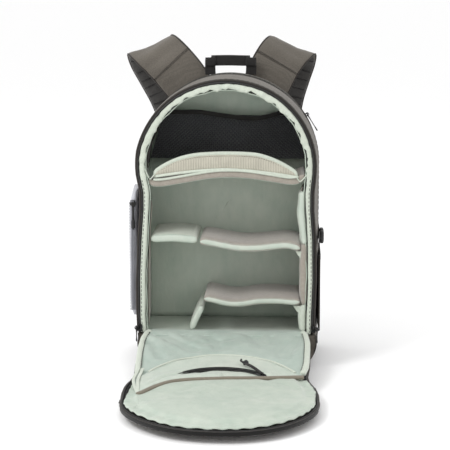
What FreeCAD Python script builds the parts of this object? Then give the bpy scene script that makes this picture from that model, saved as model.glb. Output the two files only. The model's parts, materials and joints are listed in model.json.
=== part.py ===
import FreeCAD, Part
import math
import os

"""Camera backpack, standing on its base with the front panel unzipped and laid open.

X runs to the right of someone facing the open side, Y runs towards the wearer's back and Z runs up.
The origin is on the ground, under the middle of the gusset. Sizes are in millimetres.
The front panel is drawn shut, against the opening, and then turned to where it lies open.
"""

V = FreeCAD.Vector

# Body outline, seen from the front: straight sides under a half-round arch
HALF_WIDTH = 155.0
ARCH_Z = 335.0
CORNER_RADIUS = 40.0
FRONT_Y = -78.0
BACK_Y = 78.0
TOP_Z = ARCH_Z + HALF_WIDTH

# Wall layers, as depths in from the outline
FABRIC = 2.0
LAYER_GAP = 0.2
FOAM_DEPTH = 10.0
LINING_DEPTH = 11.5
FLOOR_Z = 58.0
LINING_THICKNESS = 1.5

# Front lip under the opening, and the base
BASE_FABRIC = 2.0
LIP_Y = -92.0
LIP_SHELF_Z = 38.0

# Walls across the bag, front to back
WALL_FRONT_Y = 45.0
WALL_BACK_Y = 52.0
SHEET_FRONT_Y = 76.0
BACK_PANEL_Y = 84.0
PAD_Y = 95.0

# Front panel: pivot on its inner face, and the fold across it
PIVOT_Y = -84.0
PIVOT_Z = FLOOR_Z
FOLD_LENGTH = 180.0
FOLD_DROP = 32.0
FOLD_GAP = 0.6
PANEL_INSET = 7.0
PANEL_FOAM = 8.0
PANEL_THICKNESS = 10.0
FRONT_POCKET_DEPTH = 26.0
FRONT_POCKET_INSET = 28.0
SLOPE = math.degrees(math.asin(FOLD_DROP / FOLD_LENGTH))

# Zips: two rows of coil with a gap that the slider's bridge runs in
COIL_OUT = 1.5
COIL_IN = 4.5
BRIDGE_HALF = 0.9
SLIDER_LENGTH = 12.0
MAIN_SLIDER_Z = 61.0
LAPTOP_SLIDER_INSET = 4.0
SIDE_ZIP_X = -160.3
SIDE_ZIP_Y = -61.2
SIDE_SLIDER_Z = 278.0
PIN_RADIUS = 1.0
PIN_RISE = 4.9

# Laptop zip, over the arch
LAPTOP_SLOT_Y0 = 57.0
LAPTOP_SLOT_Y1 = 68.0
LAPTOP_HALF_ANGLE = 62.0

# Pocket on the panel's inner face: its zip and its top edge are arcs in that face
INNER_ZIP_HALF_CHORD = 80.0
INNER_ZIP_RADIUS = 140.0
INNER_ZIP_S = 130.0
INNER_ZIP_HALF_ANGLE = math.degrees(math.asin(INNER_ZIP_HALF_CHORD / INNER_ZIP_RADIUS))
INNER_ZIP_CENTRE_Z = PIVOT_Z + INNER_ZIP_S + INNER_ZIP_RADIUS
INNER_POCKET_RADIUS = 137.0
INNER_POCKET_S = 74.0
INNER_POCKET_RISE = 3.2
INNER_GROOVE_RISE = 0.8
INNER_PULL_TURN = 68.0

# Padded dividers: front and back edges, and thickness
DIVIDER_FRONT_Y = -76.0
DIVIDER_BACK_Y = 44.5
SIDE_CLEARANCE = 0.5
INTERIOR_HALF = HALF_WIDTH - LINING_DEPTH - SIDE_CLEARANCE
SHELF_THICKNESS = 12.0
SHELF_MID_Z = 337.0
SHELF_DROOP = 14.0
FLAP_GAP = 3.4
FLAP_THICKNESS = 5.0

# Carrying parts
HANDLE_Y = 81.0
HANDLE_Z = 487.5
HANDLE_TOP_Z = 522.0
HANDLE_HALF_WIDTH = 46.0
HANDLE_BAND = 18.5
STRAP_THICKNESS = 11.0
STRAP_HINGE_Z = 492.0
STRAP_BEND_GAP = 3.2
WEBBING_WIDTH = 25.0
WEBBING_THICKNESS = 2.0
LEFT_STRAP_SPREAD = 38.0


def box(x0, x1, y0, y1, z0, z1):
    """A block between two corners."""
    return Part.makeBox(x1 - x0, y1 - y0, z1 - z0, V(x0, y0, z0))


def body_face(inset):
    """The body's outline in the plane Y = 0, moved inwards."""
    w = HALF_WIDTH - inset
    r = max(CORNER_RADIUS - inset, 6.0)
    low = inset
    k = r * (1 - math.sqrt(0.5))
    edges = [
        Part.LineSegment(V(-w + r, 0, low), V(w - r, 0, low)).toShape(),
        Part.Arc(V(w - r, 0, low), V(w - k, 0, low + k), V(w, 0, low + r)).toShape(),
        Part.LineSegment(V(w, 0, low + r), V(w, 0, ARCH_Z)).toShape(),
        Part.Arc(V(w, 0, ARCH_Z), V(0, 0, ARCH_Z + w), V(-w, 0, ARCH_Z)).toShape(),
        Part.LineSegment(V(-w, 0, ARCH_Z), V(-w, 0, low + r)).toShape(),
        Part.Arc(V(-w, 0, low + r), V(-w + k, 0, low + k), V(-w + r, 0, low)).toShape(),
    ]
    return Part.Face(Part.Wire(edges))


def slab(inset, y0, y1):
    """The outline, moved inwards, as a slab from y0 to y1."""
    face = body_face(inset)
    face.translate(V(0, y0, 0))
    return face.extrude(V(0, y1 - y0, 0))


def ring(outer, inner, y0, y1):
    """The band between two insets of the outline."""
    return slab(outer, y0, y1).cut(slab(inner, y0 - 1, y1 + 1))


def between_z(shape, z0, z1):
    """The part of a shape between two heights."""
    return shape.common(box(-400, 400, -400, 400, z0, z1))


def plate(points, axis, low, high):
    """A polygon drawn in the plane across an axis, given thickness along it."""
    places = {"X": lambda a, b: V(low, a, b), "Y": lambda a, b: V(a, low, b), "Z": lambda a, b: V(a, b, low)}
    wire = Part.makePolygon([places[axis](a, b) for a, b in points + points[:1]])
    along = {"X": V(1, 0, 0), "Y": V(0, 1, 0), "Z": V(0, 0, 1)}[axis]
    return Part.Face(wire).extrude(along * (high - low))


def rounded_box(x0, x1, y0, y1, z0, z1, radius, axis="Y"):
    """A block whose four edges along one axis are rounded."""
    solid = box(x0, x1, y0, y1, z0, z1)
    want = {"X": V(1, 0, 0), "Y": V(0, 1, 0), "Z": V(0, 0, 1)}[axis]
    edges = [e for e in solid.Edges if abs(abs(e.tangentAt(e.FirstParameter).dot(want)) - 1) < 1e-6]
    return solid.makeFillet(radius, edges)


def arch_sector(half_angle, y0, y1):
    """A wedge from the arch's centre, symmetrical about the top."""
    far = 300.0
    a = math.radians(half_angle)
    corner = (far * math.sin(a), ARCH_Z + far * math.cos(a))
    outline = [(0, ARCH_Z), corner, (corner[0], ARCH_Z + far), (-corner[0], ARCH_Z + far), (-corner[0], corner[1])]
    return plate(outline, "Y", y0, y1)


def turned(shape, centre, axis, angle):
    """A copy turned about a line."""
    copy = shape.copy()
    copy.rotate(centre, axis, angle)
    return copy


def mirrored(shape):
    """The same piece on the other side of the bag."""
    return shape.mirror(V(0, 0, 0), V(1, 0, 0))


# ---------------------------------------------------------------- the body


def laptop_slot():
    """The slot over the arch that the laptop goes in by."""
    return arch_sector(LAPTOP_HALF_ANGLE, LAPTOP_SLOT_Y0, LAPTOP_SLOT_Y1)


def gusset_fabric():
    """Outer fabric of the sides and the arch, slotted for the laptop zip."""
    skin = between_z(ring(0, FABRIC, FRONT_Y, BACK_Y), CORNER_RADIUS + LAYER_GAP, TOP_Z + 1)
    return skin.cut(laptop_slot())


def base_fabric():
    """Coated fabric under the bag and round its lower corners, out to the front lip."""
    return between_z(ring(0, BASE_FABRIC, LIP_Y, BACK_Y), -1, CORNER_RADIUS)


def base_pad():
    """Thick foam that the camera compartment stands on."""
    pad = slab(BASE_FABRIC + LAYER_GAP, FRONT_Y, SHEET_FRONT_Y - LAYER_GAP)
    return between_z(pad, 0, FLOOR_Z - LINING_THICKNESS - LAYER_GAP)


def front_lip_panel():
    """Padded lip under the opening, with a step that the open panel lies over."""
    y_back = FRONT_Y - LAYER_GAP
    profile = [(y_back, 3), (LIP_Y, 3), (LIP_Y, LIP_SHELF_Z), (-82, 45), (-81, 56), (y_back, 56)]
    lip = plate(profile, "X", -HALF_WIDTH, HALF_WIDTH)
    return lip.common(slab(BASE_FABRIC + LAYER_GAP, LIP_Y - 1, 0))


def gusset_foam():
    """Foam in the two sides, and in the arch: in front of the laptop slot, behind it and beside it."""
    back = SHEET_FRONT_Y - LAYER_GAP
    sides = between_z(ring(FABRIC + LAYER_GAP, FOAM_DEPTH, FRONT_Y, back), FLOOR_Z - LINING_THICKNESS, ARCH_Z)
    bands = [(FRONT_Y, LAPTOP_SLOT_Y0), (LAPTOP_SLOT_Y1, back), (LAPTOP_SLOT_Y0, LAPTOP_SLOT_Y1)]
    arch = [ring(FABRIC + LAYER_GAP, FOAM_DEPTH, y0, y1) for y0, y1 in bands]
    arch = [between_z(band, ARCH_Z + LAYER_GAP, TOP_Z + 1) for band in arch]
    arch[2] = arch[2].cut(laptop_slot())
    return sides, arch


def camera_lining():
    """Lining of the camera compartment: floor, sides and arch."""
    y1 = WALL_FRONT_Y - LAYER_GAP
    outer = between_z(slab(FOAM_DEPTH + LAYER_GAP, FRONT_Y, y1), FLOOR_Z - LINING_THICKNESS, TOP_Z)
    return outer.cut(between_z(slab(LINING_DEPTH, FRONT_Y - 1, y1 + 1), FLOOR_Z, TOP_Z))


def divider_wall():
    """Padded wall between the cameras and the laptop."""
    wall = slab(FOAM_DEPTH + LAYER_GAP, WALL_FRONT_Y, WALL_BACK_Y)
    return between_z(wall, FLOOR_Z - LINING_THICKNESS, TOP_Z)


def back_layers():
    """Stiffening sheet, and the padded panel against the wearer's back."""
    sheet = slab(FABRIC + LAYER_GAP, SHEET_FRONT_Y, BACK_Y - LAYER_GAP)
    panel = slab(0.5, BACK_Y + LAYER_GAP, BACK_PANEL_Y)
    return between_z(sheet, FLOOR_Z, TOP_Z), panel


def back_pads():
    """Two long pads with an air channel between, and the lumbar pad."""
    y0 = BACK_PANEL_Y + LAYER_GAP
    side = rounded_box(16, 112, y0, PAD_Y, 180, 395, 18)
    lumbar = rounded_box(-118, 118, y0, PAD_Y, 40, 160, 22)
    return [side, mirrored(side)], lumbar


def strap_yoke():
    """Yoke sewn to the back, with the roots of the two shoulder straps that rise from it."""
    y0 = BACK_PANEL_Y + LAYER_GAP
    outline = [(-112, 404), (112, 404), (100, 440), (60, 462), (-60, 462), (-100, 440)]
    right = banded_loft(strap_root_sections(0), STRAP_THICKNESS)
    left = mirrored(banded_loft(strap_root_sections(LEFT_STRAP_SPREAD), STRAP_THICKNESS))
    return [plate(outline, "Y", y0, y0 + 2.6), right, left]


def main_zip_body():
    """The body's half of the U zip: tape and coil on the edge of the opening."""
    coil_back = FRONT_Y - 2.5
    tape = ring(2.4, 3.6, coil_back, FRONT_Y - LAYER_GAP)
    coil = ring(COIL_OUT, COIL_IN, PIVOT_Y + 1.0, coil_back)
    return between_z(tape.fuse(coil), FLOOR_Z + 1, TOP_Z + 1)


def opening_binding():
    """Soft binding round the opening, inside the zip."""
    band = ring(PANEL_INSET, LINING_DEPTH, PIVOT_Y + 2, FRONT_Y - LAYER_GAP)
    return between_z(band, FLOOR_Z + 1, TOP_Z)


def mesh_pocket():
    """Mesh pocket on the rear wall of the top compartment."""
    outline = slab(LINING_DEPTH + SIDE_CLEARANCE, 24, 25.5)
    sheet = between_z(outline, SHELF_MID_Z + 8, 425)
    floor = box(-120, 120, 25.5, WALL_FRONT_Y - LAYER_GAP, SHELF_MID_Z + 8, SHELF_MID_Z + 10)
    return sheet.fuse(floor)


def laptop_zip():
    """Tape and coil on both edges of the laptop slot."""
    front = ring(0.2, 2.2, LAPTOP_SLOT_Y0 + 0.1, LAPTOP_SLOT_Y0 + 2.1)
    rear = ring(0.2, 2.2, LAPTOP_SLOT_Y1 - 2.1, LAPTOP_SLOT_Y1 - 0.1)
    return [front.common(laptop_slot()), rear.common(laptop_slot())]


def side_pocket():
    """Zipped pocket on the left side, its edges rounded, grooved down its front for the zip."""
    x1 = -HALF_WIDTH - 0.3
    pocket = rounded_box(-174, x1, -62, 58, 80, 297, 14, "X")
    rim = [e for e in pocket.Edges if e.CenterOfMass.x < -173.9]
    pocket = pocket.makeFillet(9, rim)
    return pocket.cut(box(SIDE_ZIP_X - 5.5, x1 + 1, -63, SIDE_ZIP_Y + 3.2, 88, 289))


def side_pocket_zip():
    """Two rows of coil in the side pocket's groove, each on its tape."""
    x, y = SIDE_ZIP_X, SIDE_ZIP_Y
    outer = box(x - 3.1, x - 0.9, y, y + 2, 89, 288).fuse(box(x - 5.4, x - 0.9, y + 2, y + 3, 89, 288))
    inner = box(x + 0.9, x + 3.1, y, y + 2, 89, 288).fuse(box(x + 0.9, x + 4.6, y + 2, y + 3, 89, 288))
    return [outer, inner]


def bottle_pocket():
    """Flat stretch pocket on the right side."""
    x0 = HALF_WIDTH + 0.3
    outline = [(-62, 60), (58, 60), (58, 190), (40, 178), (-44, 178), (-62, 190)]
    return plate(outline, "X", x0, x0 + 2.6)


def compression_strap():
    """Webbing across the right side: to the buckle's socket, and from its plug."""
    x0 = HALF_WIDTH + 3.3
    thick = WEBBING_THICKNESS
    rear = box(x0 - 3, x0 - 3 + thick, 12, BACK_Y, 205, 225)
    front = box(x0 - 3, x0 - 3 + thick, FRONT_Y + 2, -10, 205, 225)
    return [rear, front]


def buckle_socket():
    """Socket of the side-release buckle."""
    x0 = HALF_WIDTH + 2.6
    shell = rounded_box(x0, x0 + 8, -4, 22, 202, 228, 3, "X")
    return shell.cut(box(x0 + 2, x0 + 6, -5, 14, 206, 224))


def buckle_plug():
    """Plug of the side-release buckle, its tongue in the socket."""
    x0 = HALF_WIDTH + 2.6
    tongue = box(x0 + 2.4, x0 + 5.6, -6, 13, 206.5, 223.5)
    bar = rounded_box(x0, x0 + 8, -22, -4.6, 202, 228, 3, "X")
    return bar.fuse(tongue)


def lower_anchors():
    """Webbing tabs that hold the lower ends of the shoulder straps."""
    y0 = BACK_PANEL_Y + LAYER_GAP
    tab = plate([(122, 22), (146, 30), (142, 62), (124, 62)], "Y", y0, y0 + 3)
    return [tab, mirrored(tab)]


# ---------------------------------------------------------------- zip sliders and pulls


def placed(shape, origin, along, out):
    """A piece drawn with its travel along X and the outside up Z, put on the bag."""
    copy = shape.copy()
    copy.Placement = FreeCAD.Placement(origin, FreeCAD.Rotation(along, out.cross(along), out, "XZY"))
    return copy


def slider_solid(half_width, bridge_half, coil_depth, with_back=True):
    """Zip slider over a coil whose top is the plane Z = 0: plates, bridge, and a pin between two ears."""
    half = SLIDER_LENGTH / 2
    top = box(-half, half, -half_width, half_width, 0.5, 1.9)
    floor = -coil_depth - 0.5
    bridge = box(-half, half, -bridge_half, bridge_half, -coil_depth + 0.3, 0.6)
    ears = [box(-1.5, 1.5, y, y + 1, 0.5, PIN_RISE + 1.2) for y in (-5, 4)]
    pin = Part.makeCylinder(PIN_RADIUS, 9, V(0, -4.5, PIN_RISE), V(0, 1, 0))
    slider = top.fuse([bridge, pin] + ears)
    if with_back:
        back = box(-half, half, -half_width, half_width, floor - 1.2, floor)
        web = box(-half, half, -bridge_half, bridge_half, floor - 0.2, 0)
        slider = slider.fuse([back, web])
    return slider.removeSplitter()


def pull_solid(length, half_width, end_length=0.0):
    """Zip pull that turns on the slider's pin, with a thicker moulded end where one is asked for."""
    eye = Part.makeCylinder(2.6, 7, V(0, -3.5, PIN_RISE), V(0, 1, 0))
    tab = box(0, length, -half_width, half_width, PIN_RISE - 1.2, PIN_RISE + 1.2)
    pull = eye.fuse(tab)
    if end_length:
        pull = pull.fuse(rounded_box(length - 1, length + end_length, -3, 3, PIN_RISE - 2.2, PIN_RISE + 2.2, 1.8, "X"))
    return pull.cut(Part.makeCylinder(PIN_RADIUS + 0.4, 8, V(0, -4, PIN_RISE), V(0, 1, 0))).removeSplitter()


def main_zip_mover(shape):
    """Puts a slider or pull at the bottom of the U zip's right-hand side."""
    origin = V(HALF_WIDTH - COIL_OUT, PIVOT_Y - 0.5, MAIN_SLIDER_Z + SLIDER_LENGTH / 2)
    return placed(shape, origin, V(0, 0, -1), V(1, 0, 0))


def laptop_zip_mover(shape):
    """Puts a slider or pull at the right-hand end of the laptop zip."""
    a = math.radians(LAPTOP_HALF_ANGLE - LAPTOP_SLIDER_INSET)
    out = V(math.sin(a), 0, math.cos(a))
    origin = V(0, (LAPTOP_SLOT_Y0 + LAPTOP_SLOT_Y1) / 2, ARCH_Z) + out * (HALF_WIDTH - 0.2)
    return placed(shape, origin, V(math.cos(a), 0, -math.sin(a)), out)


def side_pocket_mover(shape):
    """Puts a slider or pull at the top of the side pocket's zip."""
    return placed(shape, V(SIDE_ZIP_X, SIDE_ZIP_Y, SIDE_SLIDER_Z), V(0, 0, -1), V(0, -1, 0))


# ---------------------------------------------------------------- padded dividers


def arched_slab(half_width, mid_z, droop, thickness, y0, y1):
    """A shelf that hangs lower at its two ends."""
    low = [V(-half_width, y0, mid_z - droop), V(0, y0, mid_z), V(half_width, y0, mid_z - droop)]
    high = [p + V(0, 0, thickness) for p in low]
    edges = [
        Part.Arc(*low).toShape(),
        Part.LineSegment(low[2], high[2]).toShape(),
        Part.Arc(high[2], high[1], high[0]).toShape(),
        Part.LineSegment(high[0], low[0]).toShape(),
    ]
    return Part.Face(Part.Wire(edges)).extrude(V(0, y1 - y0, 0))


def shelf():
    """Padded shelf under the top compartment."""
    low = SHELF_MID_Z - SHELF_THICKNESS
    return arched_slab(INTERIOR_HALF - 0.2, low, SHELF_DROOP, SHELF_THICKNESS, DIVIDER_FRONT_Y, DIVIDER_BACK_Y)


def shelf_flap():
    """Half-round flap that stands up from the shelf's front edge, clear of it so that it can fold."""
    z0 = SHELF_MID_Z + FLAP_GAP
    points = [V(-122, 0, z0), V(-114, 0, z0 + 8), V(-4, 0, z0 + 30), V(108, 0, z0 + 8), V(117, 0, z0)]
    edges = [
        Part.LineSegment(points[0], points[1]).toShape(),
        Part.Arc(points[1], points[2], points[3]).toShape(),
        Part.LineSegment(points[3], points[4]).toShape(),
        Part.LineSegment(points[4], points[0]).toShape(),
    ]
    face = Part.Face(Part.Wire(edges))
    face.translate(V(0, DIVIDER_FRONT_Y, 0))
    return face.extrude(V(0, FLAP_THICKNESS, 0))


def dividers():
    """The four smaller dividers. Each name gives its outline, seen from the front."""
    far = INTERIOR_HALF
    outlines = {
        "divider_mid_left": [(-far, 214), (-51, 212), (-51, 225), (-far, 229)],
        "divider_mid_right": [(-50, 208), (far, 203), (far, 216), (-50, 221)],
        "divider_low_right": [(-42, 106), (far, 106), (far, 118), (-42, 118)],
        "divider_upright": [(-66, 58.5), (-55, 58.5), (-32, 105.5), (-43, 105.5)],
    }
    return {name: plate(points, "Y", DIVIDER_FRONT_Y, DIVIDER_BACK_Y) for name, points in outlines.items()}


# ---------------------------------------------------------------- front panel


def opened_lower(shape):
    """The lower panel, drawn shut, turned down to its slope."""
    return turned(shape, V(0, PIVOT_Y, PIVOT_Z), V(1, 0, 0), 90 + SLOPE)


def opened_upper(shape):
    """The domed panel, drawn shut, laid flat past the fold."""
    flat = turned(shape, V(0, PIVOT_Y, PIVOT_Z), V(1, 0, 0), 90)
    flat.translate(V(0, FOLD_LENGTH * (1 - math.cos(math.radians(SLOPE))), -FOLD_DROP))
    return flat


def panel_layer(inset, t0, t1, s0, s1):
    """A layer of the shut panel: depths t out from its inner face, heights s up from the pivot."""
    return between_z(slab(inset, PIVOT_Y - t1, PIVOT_Y - t0), PIVOT_Z + s0, PIVOT_Z + s1)


def panel_zip(s0, s1):
    """The panel's half of the U zip, shut, between two heights."""
    coil = ring(COIL_OUT, COIL_IN, PIVOT_Y - 5, PIVOT_Y - 2)
    tape = ring(2.4, 3.6, PIVOT_Y - PANEL_FOAM - 0.1, PIVOT_Y - 5)
    return between_z(coil.fuse(tape), PIVOT_Z + s0, PIVOT_Z + s1)


def panel_lower_parts():
    """The lower panel's layers, laid open."""
    top = FOLD_LENGTH - FOLD_GAP / 2
    return {
        "panel_lower_foam": opened_lower(panel_layer(PANEL_INSET, 0, PANEL_FOAM, 1, top)),
        "panel_lower_fabric": opened_lower(panel_layer(0.5, PANEL_FOAM + LAYER_GAP, PANEL_THICKNESS, 2, top)),
        "panel_lower_zip": opened_lower(panel_zip(3, top)),
    }


def panel_upper_parts():
    """The domed panel's layers, laid open."""
    low = FOLD_LENGTH + FOLD_GAP / 2
    high = TOP_Z - PIVOT_Z + 1
    pocket = panel_layer(FRONT_POCKET_INSET, PANEL_THICKNESS + LAYER_GAP, FRONT_POCKET_DEPTH, low + 12, high)
    groove = box(-86, 86, PIVOT_Y - 27, PIVOT_Y - 19, 395.5, 404.5)
    rows = [box(-84, 84, PIVOT_Y - 24.4, PIVOT_Y - 22.4, z, z + 2.4) for z in (397.0, 400.6)]
    tapes = [box(-84, 84, PIVOT_Y - 22.4, PIVOT_Y - 21.6, z, z + 2.4) for z in (395.6, 402.0)]
    return {
        "panel_lining": opened_upper(panel_layer(PANEL_INSET, 0, 1.2, low, high)),
        "panel_foam": opened_upper(panel_layer(PANEL_INSET, 1.2 + LAYER_GAP, PANEL_FOAM, low, high)),
        "panel_fabric": opened_upper(panel_layer(0.5, PANEL_FOAM + LAYER_GAP, PANEL_THICKNESS, low, high)),
        "panel_zip": opened_upper(panel_zip(low, high)),
        "front_pocket": opened_upper(pocket.cut(groove)),
        "front_pocket_zip": [opened_upper(row.fuse(tape)) for row, tape in zip(rows, tapes)],
        "front_pocket_slider": opened_upper(front_pocket_slider()),
    }


def front_pocket_slider():
    """Slider of the front pocket's zip, inside its groove."""
    outer = box(-84, -72, PIVOT_Y - 25.8, PIVOT_Y - 24.8, 396.6, 403.4)
    bridge = box(-84, -72, PIVOT_Y - 25, PIVOT_Y - 22.2, 399.6, 400.4)
    return outer.fuse(bridge)


def disc(centre_z, radius, rise0, rise1):
    """A round plate on the panel's inner face while it is shut."""
    return Part.makeCylinder(radius, rise1 - rise0, V(0, PIVOT_Y + rise0, centre_z), V(0, 1, 0))


def zip_arc_band(r0, r1, rise0, rise1, half_angle):
    """A strip of the arc that the inner pocket's zip follows. The arc bulges down, to the hinge."""
    a = math.radians(half_angle)
    far = 400.0
    corner = (far * math.sin(a), INNER_ZIP_CENTRE_Z - far * math.cos(a))
    wedge = [(0, INNER_ZIP_CENTRE_Z), corner, (-corner[0], corner[1])]
    sector = plate(wedge, "Y", PIVOT_Y + rise0 - 1, PIVOT_Y + rise1 + 1)
    band = disc(INNER_ZIP_CENTRE_Z, r1, rise0, rise1).cut(disc(INNER_ZIP_CENTRE_Z, r0, rise0 - 1, rise1 + 1))
    return band.common(sector)


def inner_pocket():
    """Pocket on the panel's inner face, from its curved top edge to the fold, grooved for the zip."""
    centre_z = PIVOT_Z + INNER_POCKET_S + INNER_POCKET_RADIUS
    sheet = disc(centre_z, INNER_POCKET_RADIUS, 0.2, INNER_POCKET_RISE)
    sheet = between_z(sheet, PIVOT_Z, PIVOT_Z + FOLD_LENGTH - 2)
    groove = zip_arc_band(
        INNER_ZIP_RADIUS - 5, INNER_ZIP_RADIUS + 5, INNER_GROOVE_RISE, INNER_POCKET_RISE + 1, INNER_ZIP_HALF_ANGLE + 1
    )
    return sheet.cut(groove)


def inner_pocket_zip():
    """Two rows of coil along the arc."""
    low = INNER_GROOVE_RISE + 0.1
    inner = zip_arc_band(INNER_ZIP_RADIUS - 3.2, INNER_ZIP_RADIUS - 0.9, low, low + 1.8, INNER_ZIP_HALF_ANGLE)
    outer = zip_arc_band(INNER_ZIP_RADIUS + 0.9, INNER_ZIP_RADIUS + 3.2, low, low + 1.8, INNER_ZIP_HALF_ANGLE)
    return [inner, outer]


def on_inner_arc(shape, angle):
    """A piece drawn at the arc's middle, moved along the arc. Positive goes to the right."""
    return turned(shape, V(0, PIVOT_Y, INNER_ZIP_CENTRE_Z), V(0, -1, 0), angle)


def inner_pocket_slider():
    """Slider of the inner pocket's zip, at the right-hand end, with a post for its cord."""
    z = PIVOT_Z + INNER_ZIP_S
    outer = box(-5, 5, PIVOT_Y + 3.1, PIVOT_Y + 4.2, z - 3.6, z + 3.6)
    bridge = box(-5, 5, PIVOT_Y + 1.2, PIVOT_Y + 3.2, z - 0.5, z + 0.5)
    post = Part.makeCylinder(PIN_RADIUS, 3, V(0, PIVOT_Y + 4, z), V(0, 1, 0))
    return on_inner_arc(outer.fuse([bridge, post]), INNER_ZIP_HALF_ANGLE - 4)


def inner_pocket_pull():
    """Cord pull with a moulded end, lying on the panel and pointing back to the hinge."""
    z = PIVOT_Z + INNER_ZIP_S
    eye = Part.makeCylinder(2.6, 1.8, V(0, PIVOT_Y + 4.6, z), V(0, 1, 0))
    cord = box(-1.2, 1.2, PIVOT_Y + 4.6, PIVOT_Y + 6.4, z - 40, z - 1)
    end = box(-2.6, 2.6, PIVOT_Y + 4.4, PIVOT_Y + 7.2, z - 56, z - 40)
    hole = Part.makeCylinder(PIN_RADIUS + 0.4, 4, V(0, PIVOT_Y + 4, z), V(0, 1, 0))
    pull = turned(eye.fuse([cord, end]).cut(hole), V(0, PIVOT_Y, z), V(0, 1, 0), INNER_PULL_TURN)
    return on_inner_arc(pull, INNER_ZIP_HALF_ANGLE - 4)


# ---------------------------------------------------------------- handle and shoulder straps


def grab_handle():
    """Flat webbing loop over the top seam."""
    y0, y1 = HANDLE_Y - 1.25, HANDLE_Y + 1.25
    low = HANDLE_Z - 30
    inner_half = HANDLE_HALF_WIDTH - HANDLE_BAND
    outer = rounded_box(-HANDLE_HALF_WIDTH, HANDLE_HALF_WIDTH, y0, y1, low, HANDLE_TOP_Z, 12)
    inner = rounded_box(-inner_half, inner_half, y0 - 1, y1 + 1, low - 1, HANDLE_TOP_Z - HANDLE_BAND, 4)
    return between_z(outer.cut(inner), HANDLE_Z, HANDLE_TOP_Z)


def strap_line(spread):
    """Right-hand strap from the yoke, over the top and down the back: centre, width direction, half width.

    spread moves the stretch that stands over the bag outwards."""
    table = [
        ((44, 94.5, 418), (0.89, -0.46), 34, 0.0),
        ((55, 95, 450), (0.89, -0.46), 38, 0.2),
        ((67, 97, 478), (0.89, -0.46), 41, 0.45),
        ((79, 101, 503), (0.90, -0.44), 41, 0.7),
        ((91, 110, 521), (0.91, -0.42), 41, 0.9),
        ((102, 124, 530), (0.92, -0.40), 41, 1.0),
        ((110, 141, 528), (0.92, -0.38), 41, 1.0),
        ((109, 152, 510), (0.93, -0.37), 40, 0.95),
        ((101, 158, 482), (0.94, -0.34), 39, 0.8),
        ((91, 162, 440), (0.96, -0.28), 37, 0.55),
        ((85, 166, 385), (0.99, -0.14), 35, 0.25),
        ((84, 168, 325), (1.0, 0.05), 33, 0.05),
        ((92, 164, 262), (0.98, 0.20), 31, 0.0),
        ((104, 154, 204), (0.96, 0.28), 27, 0.0),
        ((110, 147, 176), (0.96, 0.28), 19, 0.0),
    ]
    return [(V(x + spread * share, y, z), V(a, 0, c), half) for (x, y, z), (a, c), half, share in table]


def strap_root_sections(spread):
    """The strap's root, from the yoke up to the line that it bends at."""
    line = strap_line(spread)
    return line[:3] + [section_at(line[2], line[3], STRAP_HINGE_Z - 0.4)]


def section_at(low, high, z):
    """The section between two others, at a height."""
    share = (z - low[0].z) / (high[0].z - low[0].z)
    mix = [a + (b - a) * share for a, b in zip(low[:2], high[:2])]
    return (mix[0], mix[1], low[2] + (high[2] - low[2]) * share)


def banded_loft(sections, thickness):
    """A flat band through sections given as centre, width direction and half width."""
    wires = []
    last = len(sections) - 1
    for i, (centre, width, half) in enumerate(sections):
        along = sections[min(i + 1, last)][0] - sections[max(i - 1, 0)][0]
        across = V(width).normalize()
        through = along.cross(across).normalize() * (thickness / 2)
        side = across * half
        corners = [centre - side - through, centre + side - through, centre + side + through, centre - side + through]
        wires.append(Part.makePolygon(corners + corners[:1]))
    return Part.makeLoft(wires, True, True)


def shoulder_strap(spread):
    """Padded strap above its bend, its ladder lock, and the webbing down to the bottom corner."""
    line = strap_line(spread)
    pad = banded_loft([section_at(line[2], line[3], STRAP_HINGE_Z + STRAP_BEND_GAP)] + line[3:], STRAP_THICKNESS)
    end, across = line[-1][0], line[-1][1]
    down = (end - line[-2][0]).normalize()
    lock = banded_loft([(end + down * 0.4, across, 17), (end + down * 18, across, 17)], 6)
    half = WEBBING_WIDTH / 2
    webbing_line = [
        (end + down * 18.4, across, half),
        (V(123, 128, 118), V(0.97, 0, 0.2), half),
        (V(130, 107, 84), V(0.98, 0, 0.2), half),
        (V(133, 92, 63), V(0.98, 0, 0.2), half),
    ]
    return pad, lock, banded_loft(webbing_line, WEBBING_THICKNESS)


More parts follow.
